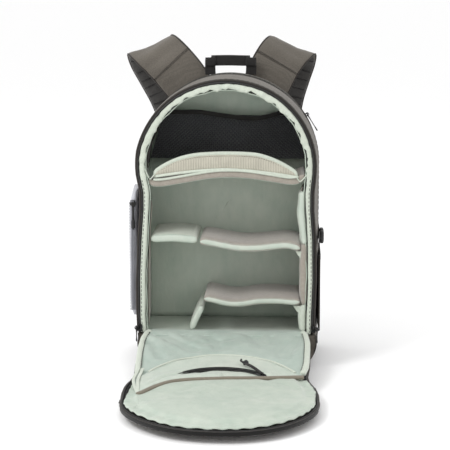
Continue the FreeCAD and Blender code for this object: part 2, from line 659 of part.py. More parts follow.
def all_parts():
    """Every node's solids, by name."""
    foam_sides, foam_top = gusset_foam()
    sheet, back_panel = back_layers()
    pads, lumbar = back_pads()
    parts = {
        "gusset_fabric": gusset_fabric(),
        "base_fabric": base_fabric(),
        "base_pad": base_pad(),
        "front_lip_panel": front_lip_panel(),
        "gusset_foam_sides": foam_sides,
        "gusset_foam_top": foam_top,
        "camera_lining": camera_lining(),
        "divider_wall": divider_wall(),
        "frame_sheet": sheet,
        "back_panel": back_panel,
        "back_pads": pads,
        "lumbar_pad": lumbar,
        "strap_yoke": strap_yoke(),
        "main_zip_body": main_zip_body(),
        "opening_binding": opening_binding(),
        "mesh_pocket": mesh_pocket(),
        "laptop_zip": laptop_zip(),
        "side_pocket": side_pocket(),
        "side_pocket_zip": side_pocket_zip(),
        "bottle_pocket": bottle_pocket(),
        "compression_strap": compression_strap(),
        "buckle_socket": buckle_socket(),
        "buckle_plug": buckle_plug(),
        "lower_anchors": lower_anchors(),
        "laptop_zip_slider": laptop_zip_mover(slider_solid(5.2, 1.2, 2.0)),
        "laptop_zip_pull": laptop_zip_mover(pull_solid(34, 3.5)),
        "side_pocket_slider": side_pocket_mover(slider_solid(4.0, 0.6, 1.8, with_back=False)),
        "side_pocket_pull": side_pocket_mover(pull_solid(28, 1.2, end_length=16)),
        "shelf": shelf(),
        "shelf_flap": shelf_flap(),
        "inner_pocket": opened_lower(inner_pocket()),
        "inner_pocket_zip": [opened_lower(row) for row in inner_pocket_zip()],
        "inner_pocket_slider": opened_lower(inner_pocket_slider()),
        "inner_pocket_pull": opened_lower(inner_pocket_pull()),
        "grab_handle": grab_handle(),
    }
    parts.update(dividers())
    parts.update(panel_lower_parts())
    parts.update(panel_upper_parts())
    main = {"zip_slider_": slider_solid(4.3, BRIDGE_HALF, 3.0), "zip_pull_": pull_solid(36, 3.5)}
    for name, shape in main.items():
        parts[name + "right"] = main_zip_mover(shape)
        parts[name + "left"] = mirrored(main_zip_mover(shape))
    right = shoulder_strap(0)
    left = [mirrored(piece) for piece in shoulder_strap(LEFT_STRAP_SPREAD)]
    for side, pieces in (("right", right), ("left", left)):
        for name, piece in zip(("shoulder_strap_", "ladder_lock_", "strap_webbing_"), pieces):
            parts[name + side] = piece
    return parts


def export(name, shapes):
    """Writes one node's solids to its STEP file."""
    shapes = shapes if isinstance(shapes, list) else [shapes]
    solids = [solid for shape in shapes for solid in shape.Solids]
    if not solids or not all(s.isValid() and s.isClosed() for s in solids):
        raise ValueError(name + " is not made of closed, valid solids")
    shape = solids[0] if len(solids) == 1 else Part.makeCompound(solids)
    shape.exportStep(os.path.join("parts", name + ".step"))


def main():
    os.makedirs("parts", exist_ok=True)
    for name, shapes in all_parts().items():
        export(name, shapes)


main()
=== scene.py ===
import bmesh
import bpy
import json
import math
import numpy as np
from mathutils import Matrix, Vector, noise


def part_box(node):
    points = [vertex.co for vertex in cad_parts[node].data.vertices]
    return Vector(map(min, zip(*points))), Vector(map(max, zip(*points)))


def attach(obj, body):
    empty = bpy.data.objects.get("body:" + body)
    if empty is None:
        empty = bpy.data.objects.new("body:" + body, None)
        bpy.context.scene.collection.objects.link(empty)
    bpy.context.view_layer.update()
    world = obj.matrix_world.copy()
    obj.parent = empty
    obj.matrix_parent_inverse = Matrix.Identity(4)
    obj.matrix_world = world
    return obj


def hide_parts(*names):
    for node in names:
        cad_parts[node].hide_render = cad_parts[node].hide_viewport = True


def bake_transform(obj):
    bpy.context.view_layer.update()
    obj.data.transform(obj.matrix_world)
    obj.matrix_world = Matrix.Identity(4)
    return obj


# Looks of a camera backpack that stands open, with its front panel laid on the floor.
# Everything is in metres, in the frame's own axes: +X right, +Y towards the wearer's back, +Z up.

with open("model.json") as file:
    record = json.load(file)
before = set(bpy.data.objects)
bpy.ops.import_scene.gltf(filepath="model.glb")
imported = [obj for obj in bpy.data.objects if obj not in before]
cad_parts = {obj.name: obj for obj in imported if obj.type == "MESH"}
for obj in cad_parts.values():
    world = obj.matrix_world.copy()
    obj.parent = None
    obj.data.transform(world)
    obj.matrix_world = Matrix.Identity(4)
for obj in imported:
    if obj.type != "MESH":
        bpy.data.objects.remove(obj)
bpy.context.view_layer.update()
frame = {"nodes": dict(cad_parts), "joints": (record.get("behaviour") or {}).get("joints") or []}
JOINTS = {joint["name"]: joint for joint in frame["joints"]}


def low(node):
    """Lowest corner of a CAD node."""
    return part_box(node)[0]


def high(node):
    """Highest corner of a CAD node."""
    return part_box(node)[1]


def pivot(joint):
    """The point that a hinge turns about."""
    return Vector(JOINTS[joint]["pos_m"])


# ------------------------------------------------------------------ driving sizes, from the frame

HALF = high("gusset_fabric").x
TOP = high("gusset_fabric").z
ARCH = TOP - HALF
FRONT = low("gusset_fabric").y
BACK = high("gusset_fabric").y
LIP = low("front_lip_panel").y
FLOOR = low("camera_lining").z + 0.0015
WALL = low("divider_wall").y
PANEL_BACK = high("back_panel").y
ZIP_FRONT = low("main_zip_body").y
HINGE = pivot("front_panel_hinge")
FOLD = pivot("front_panel_fold")
FOLD_S = (FOLD - HINGE).length
DOWN = (FOLD - HINGE).normalized()
RISE = Vector((0, DOWN.z, -DOWN.y))
DOME_S = ARCH - HINGE.z
WALL_INSET = 0.017

BAG, LOWER, UPPER = "bag", "panel_lower", "panel_upper"
SIDES = (("left", -1), ("right", 1))
COIL_STEP = 0.0007
# The way the pocket zip on the panel faces, half towards the dome
ZIP_FACE = RISE * 0.75 + DOWN * 0.66


# ------------------------------------------------------------------ materials


class Paint:
    """A material on one Principled shader, with the nodes that colour it."""

    def __init__(self, name, roughness=0.7, metallic=0.0, specular=0.35, sheen=0.0, sheen_roughness=0.5,
                 coat=0.0):
        self.material = bpy.data.materials.new(name)
        self.material.use_nodes = True
        self.tree = self.material.node_tree
        self.shader = self.tree.nodes["Principled BSDF"]
        for socket, value in {
            "Roughness": roughness, "Metallic": metallic, "Specular IOR Level": specular,
            "Sheen Weight": sheen, "Sheen Roughness": sheen_roughness, "Coat Weight": coat,
        }.items():
            self.shader.inputs[socket].default_value = value
        self.place = self.node("ShaderNodeTexCoord").outputs["Object"]

    def node(self, kind, inputs=None, **settings):
        made = self.tree.nodes.new(kind)
        for key, value in settings.items():
            setattr(made, key, value)
        for key, value in (inputs or {}).items():
            if isinstance(value, bpy.types.NodeSocket):
                self.tree.links.new(value, made.inputs[key])
            else:
                made.inputs[key].default_value = value
        return made

    def math(self, operation, a, b=0.0):
        return self.node("ShaderNodeMath", {0: a, 1: b}, operation=operation).outputs[0]

    def noise(self, size, detail=3.0, roughness=0.55, stretch=(1, 1, 1)):
        """Noise from 0 to 1, whose blobs are about size metres across."""
        scaled = self.node("ShaderNodeMapping",
                           {"Vector": self.place, "Scale": [f / size for f in stretch]})
        inputs = {"Vector": scaled.outputs[0], "Scale": 1.0, "Detail": detail, "Roughness": roughness}
        return self.node("ShaderNodeTexNoise", inputs).outputs["Fac"]

    def threads(self, pitch, turn=0.0, axes="XYZ"):
        """Sum of sine waves along the axes: a plain weave on any face, from -1 to 1."""
        turned = self.node("ShaderNodeMapping", {"Vector": self.place, "Rotation": (turn, turn, turn)})
        split = self.node("ShaderNodeSeparateXYZ", {0: turned.outputs[0]})
        total = None
        for axis in axes:
            wave = self.math("SINE", self.math("MULTIPLY", split.outputs[axis], 2 * math.pi / pitch))
            total = wave if total is None else self.math("ADD", total, wave)
        return self.math("DIVIDE", total, float(len(axes)))

    def ramp(self, value, colours):
        """Colours along a value from 0 to 1, given as {position: rgb}."""
        ramp = self.node("ShaderNodeValToRGB", {0: value})
        stops = ramp.color_ramp.elements
        for index, (position, colour) in enumerate(colours.items()):
            stop = stops[index] if index < 2 else stops.new(position)
            stop.position = position
            stop.color = (*colour, 1)
        return ramp.outputs["Color"]

    def colour(self, output):
        self.tree.links.new(output, self.shader.inputs["Base Color"])

    def rough(self, value, least, most):
        spread = self.node("ShaderNodeMapRange", {"Value": value, "To Min": least, "To Max": most})
        self.tree.links.new(spread.outputs[0], self.shader.inputs["Roughness"])

    def bump(self, *layers):
        """Bumps from (height output, depth in metres) pairs, one on top of another."""
        normal = None
        for height, depth in layers:
            inputs = {"Height": height, "Distance": depth, "Strength": 1.0}
            if normal is not None:
                inputs["Normal"] = normal
            normal = self.node("ShaderNodeBump", inputs).outputs["Normal"]
        self.tree.links.new(normal, self.shader.inputs["Normal"])


def clamp(value):
    """A value held between 0 and 1."""
    return min(max(value, 0.0), 1.0)


def eased(share):
    """A share from 0 to 1 that starts and ends gently."""
    return share * share * (3 - 2 * share)


def rounded(share, least=0.0):
    """Height of a quarter round at a share of the way up it."""
    return math.sqrt(max(1 - (1 - share) ** 2, least))


def noisy(x, y, z):
    """Smooth noise between -1 and 1 at a place."""
    return noise.noise(Vector((x, y, z)))


def srgb(red, green, blue):
    """Linear colour of an 8-bit display colour."""
    return tuple(((c / 255 + 0.055) / 1.055) ** 2.4 if c > 10 else c / 3294 for c in (red, green, blue))


def shade(colour, factor):
    """The colour, darker below 1 and brighter above."""
    return tuple(c * factor for c in colour)


def woven(name, colour, pitch, contrast=0.25, sheen=0.15, roughness=(0.62, 0.85), depth=0.00012, turn=0.0,
          slub=0.004):
    """Woven cloth: threads, slubs in them, and a slow change of tone."""
    paint = Paint(name, sheen=sheen, specular=0.25)
    weave = paint.threads(pitch, turn)
    slubs = paint.noise(slub, 4.0)
    slow = paint.noise(0.09, 2.0)
    tone = paint.math("ADD", paint.math("MULTIPLY", weave, 0.12), paint.math("MULTIPLY", slubs, 0.70))
    tone = paint.math("ADD", tone, paint.math("MULTIPLY", slow, 0.45))
    paint.colour(paint.ramp(tone, {0.2: shade(colour, 1 - contrast), 0.8: shade(colour, 1 + contrast)}))
    paint.rough(slubs, *roughness)
    paint.bump((slow, 0.0006), (weave, depth), (slubs, depth))
    return paint.material


def fleecy(name, colour, contrast=0.3):
    """Brushed fleece: clumped fibres, no weave."""
    paint = Paint(name, roughness=0.95, sheen=0.5, sheen_roughness=0.6, specular=0.1)
    fibres = paint.noise(0.0012, 6.0, 0.75)
    clumps = paint.noise(0.009, 4.0, 0.7)
    tone = paint.math("ADD", paint.math("MULTIPLY", fibres, 0.6), paint.math("MULTIPLY", clumps, 0.4))
    paint.colour(paint.ramp(tone, {0.32: shade(colour, 1 - contrast), 0.68: shade(colour, 1 + contrast)}))
    paint.bump((clumps, 0.0005), (fibres, 0.0004))
    return paint.material


def ribbed(name, colour, pitch, axis, contrast=0.12, depth=0.0003, sheen=0.2):
    """Cloth with ribs side by side along one axis."""
    paint = Paint(name, roughness=0.8, sheen=sheen, specular=0.2)
    ribs = paint.threads(pitch, 0.0, axis)
    cross = paint.threads(pitch * 0.4, 0.0, "XYZ")
    slow = paint.noise(0.02, 4.0)
    tone = paint.math("ADD", paint.math("MULTIPLY", ribs, 0.22), slow)
    paint.colour(paint.ramp(tone, {0.2: shade(colour, 1 - contrast), 0.8: shade(colour, 1 + contrast)}))
    paint.rough(slow, 0.7, 0.9)
    paint.bump((ribs, depth), (cross, depth * 0.4), (slow, 0.0004))
    return paint.material


def satin(name, colour, sheen=0.35):
    """Thin smooth lining: fine threads, a soft sheen and faint creases, with painted shade in them: the
    colour goes darker and cooler where the crease noise is low and a little lighter on its crests, over a
    slow change of tone.
    """
    paint = Paint(name, sheen=sheen, sheen_roughness=0.35, specular=0.45)
    weave = paint.threads(0.0007, 0.6)
    creases = paint.noise(0.016, 5.0, 0.6, (1.0, 1.0, 0.45))
    slow = paint.noise(0.07, 2.0)
    tone = paint.math("ADD", paint.math("MULTIPLY", creases, 0.45), paint.math("MULTIPLY", slow, 0.45))
    tone = paint.math("ADD", tone, paint.math("MULTIPLY", weave, 0.05))
    # Painted crease shade and sheen: darker, cooler colour in the crease troughs, lighter on the crests.
    crease_shade_colour = (colour[0] * 0.78, colour[1] * 0.86, colour[2] * 0.84)
    paint.colour(paint.ramp(tone, {0.25: crease_shade_colour, 0.65: shade(colour, 1.06)}))
    paint.rough(creases, 0.42, 0.62)
    paint.bump((creases, 0.0012), (weave, 0.00005))
    return paint.material


def moulded(name, colour, roughness=0.45, grain=0.0008, coat=0.0):
    """Moulded plastic or rubber: fine grain, rubbed smoother in places."""
    paint = Paint(name, specular=0.5, coat=coat)
    fine = paint.noise(grain, 4.0, 0.7)
    worn = paint.noise(0.012, 3.0)
    paint.colour(paint.ramp(worn, {0.3: shade(colour, 0.8), 0.75: shade(colour, 1.5)}))
    paint.rough(worn, roughness - 0.1, roughness + 0.15)
    paint.bump((fine, 0.00008), (worn, 0.0002))
    return paint.material


def lacquered_metal(name, colour):
    """Black lacquered zinc, rubbed to brighter metal on its high spots."""
    paint = Paint(name, metallic=0.85, specular=0.5)
    scratches = paint.noise(0.0009, 5.0, 0.8, (1, 1, 0.2))
    worn = paint.noise(0.004, 3.0)
    paint.colour(paint.ramp(worn, {0.45: colour, 0.85: shade(colour, 5.0)}))
    paint.rough(scratches, 0.25, 0.5)
    paint.bump((scratches, 0.00004))
    return paint.material


SAGE = srgb(188, 195, 183)
TAUPE = srgb(90, 85, 78)
PALE = srgb(200, 205, 194)

MAT = {
    "outer_fabric": woven("taupe_nylon", TAUPE, 0.0011, 0.42, slub=0.0019, depth=0.0001),
    "outer_dark": woven("dark_taupe_nylon", srgb(46, 42, 38), 0.0011, 0.35, slub=0.0019, depth=0.0001),
    "base": woven("coated_base_fabric", srgb(54, 50, 46), 0.0016, 0.35, roughness=(0.45, 0.7),
                  depth=0.0003),
    "lining": satin("sage_lining", SAGE),
    # Darker copy of the sage lining: painted shade, used on the lower panel near the hinge and on the hinge
    # hem.
    "lining_deep": satin("shaded_sage_lining", srgb(180, 190, 181), 0.5),
    "lining_pale": satin("pale_sage_lining", PALE, 0.45),
    "binding": woven("sage_binding", srgb(196, 203, 190), 0.0009, 0.14, 0.3, (0.5, 0.75), 0.00012),
    "fleece": fleecy("taupe_fleece", srgb(156, 148, 138)),
    "flap_rib": ribbed("beige_ribbed_cloth", srgb(184, 180, 166), 0.0042, "X"),
    "air_mesh": fleecy("back_padding_mesh", srgb(58, 56, 54), 0.5),
    # Black net cord painted grey: a painted highlight for the light its threads catch.
    "mesh": woven("net_cord_with_painted_highlight", srgb(62, 63, 65), 0.0006, 0.5),
    "webbing": ribbed("black_webbing", srgb(38, 36, 35), 0.0016, "XZ", 0.35, 0.0003),
    "zip_tape": ribbed("black_zip_tape", srgb(22, 21, 20), 0.0012, "XZ", 0.3, 0.0001),
    "coil": moulded("nylon_zip_coil", srgb(25, 24, 23), 0.35),
    "pocket_grey": woven("grey_pocket_nylon", srgb(188, 189, 195), 0.0011, 0.12, 0.3, depth=0.00006,
                         slub=0.002),
    "pocket_edge": woven("dark_grey_edging", srgb(132, 133, 139), 0.0009, 0.15),
    "pocket_tape": ribbed("grey_zip_tape", srgb(150, 151, 157), 0.0012, "XZ", 0.3, 0.0001),
    "seam_brown": woven("taupe_seam_tape", srgb(124, 117, 104), 0.0008, 0.2),
    "moulding": moulded("black_moulded_nylon", srgb(38, 38, 38), 0.42),
    "pull_end": moulded("soft_black_rubber", srgb(34, 34, 35), 0.6),
    "slider_metal": lacquered_metal("lacquered_zinc", srgb(46, 46, 46)),
    "thread": woven("dark_thread", srgb(70, 72, 68), 0.0004, 0.4),
    "pale_thread": woven("sage_thread", srgb(176, 190, 178), 0.0004, 0.3),
    "frame_plastic": moulded("plain_plastic_sheet", srgb(120, 120, 118), 0.5),
}


# ------------------------------------------------------------------ mesh tools


def piece(name, points, faces, material, slot, body=None, replaces=(), smooth=True):
    """A mesh object with its finish, riding on a body."""
    mesh = bpy.data.meshes.new(name)
    mesh.from_pydata([tuple(p) for p in points], [], faces)
    work = bmesh.new()
    work.from_mesh(mesh)
    bmesh.ops.remove_doubles(work, verts=work.verts, dist=1e-7)
    bmesh.ops.dissolve_degenerate(work, edges=work.edges, dist=1e-7)
    bmesh.ops.recalc_face_normals(work, faces=work.faces)
    work.to_mesh(mesh)
    work.free()
    mesh.polygons.foreach_set("use_smooth", [smooth] * len(mesh.polygons))
    obj = bpy.data.objects.new(name, mesh)
    bpy.context.scene.collection.objects.link(obj)
    for each in material if isinstance(material, (list, tuple)) else [material]:
        obj.data.materials.append(MAT[each])
    if body:
        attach(obj, body)
    if replaces:
        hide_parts(*replaces)
    return obj


def loft(rows, around=True, loop=False):
    """Points and faces of a tube through rows of points. Open ends get caps."""
    rows = np.array(rows, float)
    count, width = rows.shape[:2]
    points = rows.reshape(-1, 3)
    faces = []
    for i in range(count if loop else count - 1):
        after = (i + 1) % count
        for k in range(width if around else width - 1):
            side = (k + 1) % width
            faces.append((i * width + k, i * width + side, after * width + side, after * width + k))
    if not loop and around:
        faces.append(tuple(range(width)))
        faces.append(tuple((count - 1) * width + k for k in reversed(range(width))))
    return points, faces


def sheet_solid(grid, thickness, wrap=False):
    """Points and faces of a sheet given as a grid, made solid behind its face."""
    grid = np.array(grid, float)
    along = np.gradient(grid, axis=0)
    across = np.gradient(grid, axis=1)
    normal = np.cross(along, across)
    normal /= np.maximum(np.linalg.norm(normal, axis=2, keepdims=True), 1e-12)
    back = grid - normal * (np.array(thickness)[..., None] if np.ndim(thickness) else thickness)
    n, m = grid.shape[:2]
    points = np.concatenate([grid.reshape(-1, 3), back.reshape(-1, 3)])
    size = n * m
    faces = []
    for i in range(n if wrap else n - 1):
        for k in range(m - 1):
            a, b = i * m + k, ((i + 1) % n) * m + k
            faces.append((a, a + 1, b + 1, b))
            faces.append((size + b, size + b + 1, size + a + 1, size + a))
    for i in range(n if wrap else n - 1):
        a, b = i * m, ((i + 1) % n) * m
        faces.append((a, b, size + b, size + a))
        faces.append((b + m - 1, a + m - 1, size + a + m - 1, size + b + m - 1))
    if not wrap:
        for k in range(m - 1):
            a, b = k, (n - 1) * m + k
            faces.append((a + 1, a, size + a, size + a + 1))
            faces.append((b, b + 1, size + b + 1, size + b))
    return points, faces


def super_section(half_width, half_height, count=16, power=2.0):
    """Points of a rounded section, from round (power 2) to nearly square (power 8)."""
    out = []
    for k in range(count):
        a = 2 * math.pi * (k + 0.5) / count
        c, s = math.cos(a), math.sin(a)
        out.append((
            math.copysign(abs(c) ** (2 / power), c) * half_width,
            math.copysign(abs(s) ** (2 / power), s) * half_height,
        ))
    return out


def directions(path, loop=False):
    """Unit tangents along a path."""
    path = np.array(path, float)
    if loop:
        ahead = np.roll(path, -1, axis=0) - np.roll(path, 1, axis=0)
    else:
        ahead = np.gradient(path, axis=0)
    return ahead / np.maximum(np.linalg.norm(ahead, axis=1, keepdims=True), 1e-12)


def sweep(path, section, up, loop=False, scale=None, ends=0):
    """Rows of a section carried along a path. up is one vector or one per point, ends rounds both ends."""
    path = np.array(path, float)
    tangent = directions(path, loop)
    up = np.array(up, float)
    if up.ndim == 1:
        up = np.tile(up, (len(path), 1))
    side = np.cross(tangent, up)
    side /= np.maximum(np.linalg.norm(side, axis=1, keepdims=True), 1e-12)
    lift = np.cross(side, tangent)
    section = np.array(section, float)
    factor = np.ones(len(path)) if scale is None else np.array(scale, float)
    rows = path[:, None] + (side[:, None] * section[None, :, :1]
                            + lift[:, None] * section[None, :, 1:]) * factor[:, None, None]
    if ends and not loop:
        reach = np.abs(section).min(axis=1).max() if ends is True else ends
        caps = []
        for index, sign in ((0, -1), (-1, 1)):
            ring = []
            for turn in (0.35, 0.65, 0.9):
                shrink = math.sqrt(1 - turn * turn)
                ring.append(path[index] + (rows[index] - path[index]) * shrink
                            + tangent[index] * sign * reach * turn)
            caps.append(ring)
        rows = np.concatenate([np.array(caps[0][::-1]), rows, np.array(caps[1])])
    return rows


def smooth_path(points, steps=8, loop=False):
    """A Catmull-Rom curve through points."""
    pts = [np.array(p, float) for p in points]
    out = []
    count = len(pts)
    for i in range(count if loop else count - 1):
        if loop:
            a, b, c, d = (pts[(i + k) % count] for k in (-1, 0, 1, 2))
        else:
            a, b, c, d = pts[max(i - 1, 0)], pts[i], pts[i + 1], pts[min(i + 2, count - 1)]
        for k in range(steps):
            t = k / steps
            out.append(0.5 * (2 * b + (c - a) * t + (2 * a - 5 * b + 4 * c - d) * t * t
                              + (3 * b - a - 3 * c + d) * t ** 3))
    if not loop:
        out.append(pts[-1])
    return np.array(out)


def even_path(path, step):
    """The same path with points about step apart."""
    path = np.array(path, float)
    walked = np.concatenate([[0], np.cumsum(np.linalg.norm(np.diff(path, axis=0), axis=1))])
    count = max(int(round(walked[-1] / step)), 2)
    at = np.linspace(0, walked[-1], count + 1)
    return np.stack([np.interp(at, walked, path[:, k]) for k in range(path.shape[1])], axis=1)


def strip(name, path, size, up, material, slot, body=None, replaces=(), loop=False, scale=None, ends=0):
    """A rounded section swept along a path. size is its half width, half height, points and squareness."""
    rows = sweep(path, super_section(*size), up, loop, scale, ends)
    return piece(name, *loft(rows, loop=loop), material, slot, body, replaces)


def tube(name, path, radius, material, slot, body, up, sides=10, flat=1.0):
    """A round or flattened cord along a path, with rounded ends."""
    return strip(name, path, (radius, radius * flat, sides), up, material, slot, body, ends=radius * 0.8)


def coil(name, line, half_width, half_height, up, body, material="coil"):
    """A zip's coil, which swells at each turn, along points COIL_STEP apart."""
    swell = [1 + 0.22 * math.sin(2 * math.pi * i * COIL_STEP / 0.0021) for i in range(len(line))]
    return strip(name, line, (half_width, half_height, 6), up, material, "zip_tape", body, scale=swell)


def joined(parts):
    """Points and faces of several meshes as one."""
    points, faces, start = [], [], 0
    for some, those in parts:
        points.extend(tuple(p) for p in some)
        faces.extend(tuple(start + i for i in face) for face in those)
        start += len(some)
    return points, faces


def stitches(path, up, length=0.0032, gap=0.0016, radius=0.00045, dip=0.0):
    """Points and faces of a row of stitches along a path."""
    path = even_path(path, (length + gap) / 3)
    up = np.array(up, float)
    parts = []
    for i in range(0, len(path) - 2, 3):
        a, b = path[i], path[i] + (path[min(i + 3, len(path) - 1)] - path[i]) * (length / (length + gap))
        lift = up if up.ndim == 1 else up[0]
        middle = (a + b) / 2 + lift * radius * 0.9
        run = sweep(np.array([a - lift * dip, middle, b - lift * dip]), super_section(radius, radius, 6),
                    lift, ends=radius * 0.7)
        parts.append(loft(run))
    return joined(parts)


def rumple(obj, amount, size, seed, mask=None):
    """Moves a mesh's points along their normals by noise, amount metres at most, blobs size metres across."""
    mesh = obj.data
    for vertex in mesh.vertices:
        p = vertex.co
        share = 1.0 if mask is None else mask(p)
        if share:
            shift = noisy(p.x / size, p.y / size + seed * 7.3, p.z / size - seed * 3.1)
            vertex.co = p + vertex.normal * (shift * amount * share)
    mesh.update()
    return obj


def repaint(obj, chosen):
    """Gives each face one of the object's finishes, as chosen says for the face's middle."""
    for face in obj.data.polygons:
        face.material_index = chosen(face.center)
    return obj


# ------------------------------------------------------------------ the body's outline

# How far the soft rim stands in from the body's outline: height, on the left, on the right
WAIST = np.array([
    (0.040, 0.004, 0.006), (0.090, 0.002, 0.006), (0.150, 0.002, 0.004), (0.220, 0.005, 0.005),
    (0.270, 0.009, 0.009), (0.300, 0.009, 0.009), (0.330, 0.003, 0.006), (0.370, 0.000, 0.004),
    (0.430, 0.000, 0.002), (0.465, 0.0000, 0.0006), (0.492, 0.0008, 0.0008),
])


def waist(x, y, z):
    """How far the walls are drawn in, most at the rim and not at all behind the middle."""
    share = clamp((BACK - 0.03 - y) / (BACK - 0.03 - FRONT))
    return eased(share) * float(np.interp(z, WAIST[:, 0], WAIST[:, 1 if x < 0 else 2]))


def arch_line(low_z, step=0.005, half_angle=None):
    """(x, z), outward (x, z) and distance along the outline: up the left, over the arch, down the right."""
    if half_angle is None:
        side = max(int((ARCH - low_z) / step), 1)
        turns = int(math.pi * HALF / step)
        flat = [(-HALF, low_z + (ARCH - low_z) * i / side, -1.0, 0.0) for i in range(side)]
        start, end = math.pi, 0.0
    else:
        turns = int(2 * half_angle * HALF / step)
        flat = []
        start, end = math.pi / 2 + half_angle, math.pi / 2 - half_angle
    over = []
    for i in range(turns + 1):
        a = start + (end - start) * i / turns
        over.append((math.cos(a) * HALF, ARCH + math.sin(a) * HALF, math.cos(a), math.sin(a)))
    line = flat + over + [(-x, z, -nx, nz) for x, z, nx, nz in reversed(flat)]
    walked, out = 0.0, []
    for i, (x, z, nx, nz) in enumerate(line):
        if i:
            walked += math.dist((x, z), line[i - 1][:2])
        out.append((x, z, nx, nz, walked))
    return out


def on_wall(x, z, nx, nz, inset, y):
    """A point at a depth in from the outline, drawn in with the waist."""
    shift = inset + waist(x, y, z)
    return (x - nx * shift, y, z - nz * shift)


def arch_rows(section, low_z, step=0.005, ripple=None, half_angle=None):
    """Rows of a section of (inset, y) points carried along the outline. ripple moves them by (inset, y)."""
    rows = []
    for x, z, nx, nz, walked in arch_line(low_z, step, half_angle):
        row = []
        for k, (inset, y) in enumerate(section):
            if ripple:
                more, aft = ripple(walked, x, z, k)
                inset, y = inset + more, y + aft
            row.append(on_wall(x, z, nx, nz, inset, y))
        rows.append(row)
    return rows


def band_section(outer, inner, y0, y1, bulge=0.0, count=10, edge=0.001):
    """Section of a cloth band: its outer face from y0 to y1, then back along its inner face."""
    out = []
    for k in range(count + 1):
        t = k / count
        rounding = edge * (abs(2 * t - 1) ** 8)
        out.append((outer - bulge * math.sin(math.pi * t) + rounding, y0 + (y1 - y0) * t))
    return out + [(inner, y1 - edge), (inner, y0 + edge)]


def base_line(step=0.005):
    """Points (x, z) and outward normals under the bag, from the left corner round to the right corner."""
    radius = high("base_fabric").z
    flat = HALF - radius
    turns = int(math.pi / 2 * radius / step)
    left = []
    for i in range(turns + 1):
        a = math.pi + math.pi / 2 * i / turns
        left.append((-flat + math.cos(a) * radius, radius + math.sin(a) * radius, math.cos(a), math.sin(a)))
    count = int(flat / step)
    under = [(-flat + flat * i / count, 0.0, 0.0, -1.0) for i in range(1, count + 1)]
    half = left + under
    return half + [(-x, z, -nx, nz) for x, z, nx, nz in reversed(half[:-1])]


def full_line(inset, step=0.006):
    """The body's whole outline as a closed list of (x, z, outward x, outward z), moved in."""
    top = arch_line(high("base_fabric").z, step)
    under = base_line(step)
    line = [p[:4] for p in top] + [p for p in reversed(under)][1:-1]
    return [(x - nx * inset, z - nz * inset, nx, nz) for x, z, nx, nz in line]


def arch_path(inset, y, low_z, step=0.004, half_angle=None):
    """Points of a line that runs along the rim."""
    return np.array([on_wall(*point[:4], inset, y) for point in arch_line(low_z, step, half_angle)])


def arch_ups(low_z, step=0.004, half_angle=None):
    """The outward direction at each point of such a line."""
    return np.array([(nx, 0, nz) for _, _, nx, nz, _ in arch_line(low_z, step, half_angle)])


def wall_inset(x, y, z):
    """Depth of the padded walls' inner face in from the outline."""
    inner = WALL_INSET - 0.0045 * clamp((y - FRONT) / 0.06)
    if x > 0 and z < ARCH:
        low_down = clamp((0.300 - z) / 0.05)
        inner += (0.005 + 0.008 * low_down) * math.sin(math.pi * clamp((y - FRONT) / (WALL - FRONT)))
    return inner


# ------------------------------------------------------------------ body: outer shell


SLOT_ANGLE = math.radians(62)
SLOT_FRONT, SLOT_BACK = low("laptop_zip").y, high("laptop_zip").y


def gusset():
    """Sides and arch in taupe cloth, with a seam each side of the laptop zip."""
    gap = 0.0008
    foot = high("base_fabric").z - 0.001

    def softness(walked, _x, _z, k):
        return noisy(walked * 9, k * 0.35, 2.0) * 0.0012, 0.0

    front = arch_rows(band_section(0.0, 0.0026, FRONT, SLOT_FRONT, 0.0022), foot, 0.006, softness)
    rear = arch_rows(band_section(0.0, 0.0026, SLOT_BACK, BACK, 0.0008, 6), foot, 0.006, softness)
    piece("gusset_front_band", *loft(front), "outer_fabric", "outer_fabric", BAG,
          ("gusset_fabric", "gusset_foam_sides", "gusset_foam_top"))
    piece("gusset_rear_band", *loft(rear), "outer_fabric", "outer_fabric", BAG)
    section = band_section(0.0006, 0.0026, SLOT_FRONT + gap, SLOT_BACK - gap, 0.0006, 4)
    for name, sign in SIDES:
        rows = []
        for x, z, nx, nz, walked in arch_line(foot, 0.006):
            beyond = abs(math.atan2(nx, nz)) >= SLOT_ANGLE
            if x * sign > 0 and beyond:
                rows.append([on_wall(x, z, nx, nz, inset, y) for inset, y in section])
        piece("gusset_middle_" + name, *loft(rows), "outer_fabric", "outer_fabric", BAG)
    for name, inset, y in (("front_seam", -0.0016, FRONT + 0.007),
                           ("zip_seam_front", -0.0016, SLOT_FRONT - 0.003),
                           ("zip_seam_rear", -0.0006, SLOT_BACK + 0.003)):
        path = arch_path(inset, y, foot + 0.004, 0.003)
        strip("gusset_" + name, path, (0.0005, 0.0004, 6), arch_ups(foot + 0.004, 0.003), "thread",
              "outer_fabric", BAG,
              scale=[1 + 0.75 * math.copysign(1, math.sin(2 * math.pi * i * 0.003 / 0.009)) * 0.6
                     for i in range(len(path))])


def laptop_opening():
    """The laptop zip, shut: tape across the slot and two rows of coil that meet in its middle."""
    tape = arch_rows([(0.0012, SLOT_FRONT - 0.001), (0.0012, SLOT_BACK + 0.001),
                      (0.0022, SLOT_BACK + 0.001), (0.0022, SLOT_FRONT - 0.001)],
                     0, 0.005, half_angle=SLOT_ANGLE)
    piece("laptop_zip_tape", *loft(tape), "zip_tape", "zip_tape", BAG, ("laptop_zip",))
    middle = (SLOT_FRONT + SLOT_BACK) / 2
    for name, y in (("front", middle - 0.0011), ("rear", middle + 0.0011)):
        coil("laptop_zip_coil_" + name, arch_path(0.0008, y, 0, COIL_STEP, SLOT_ANGLE), 0.001, 0.0008,
             arch_ups(0, COIL_STEP, SLOT_ANGLE), BAG)


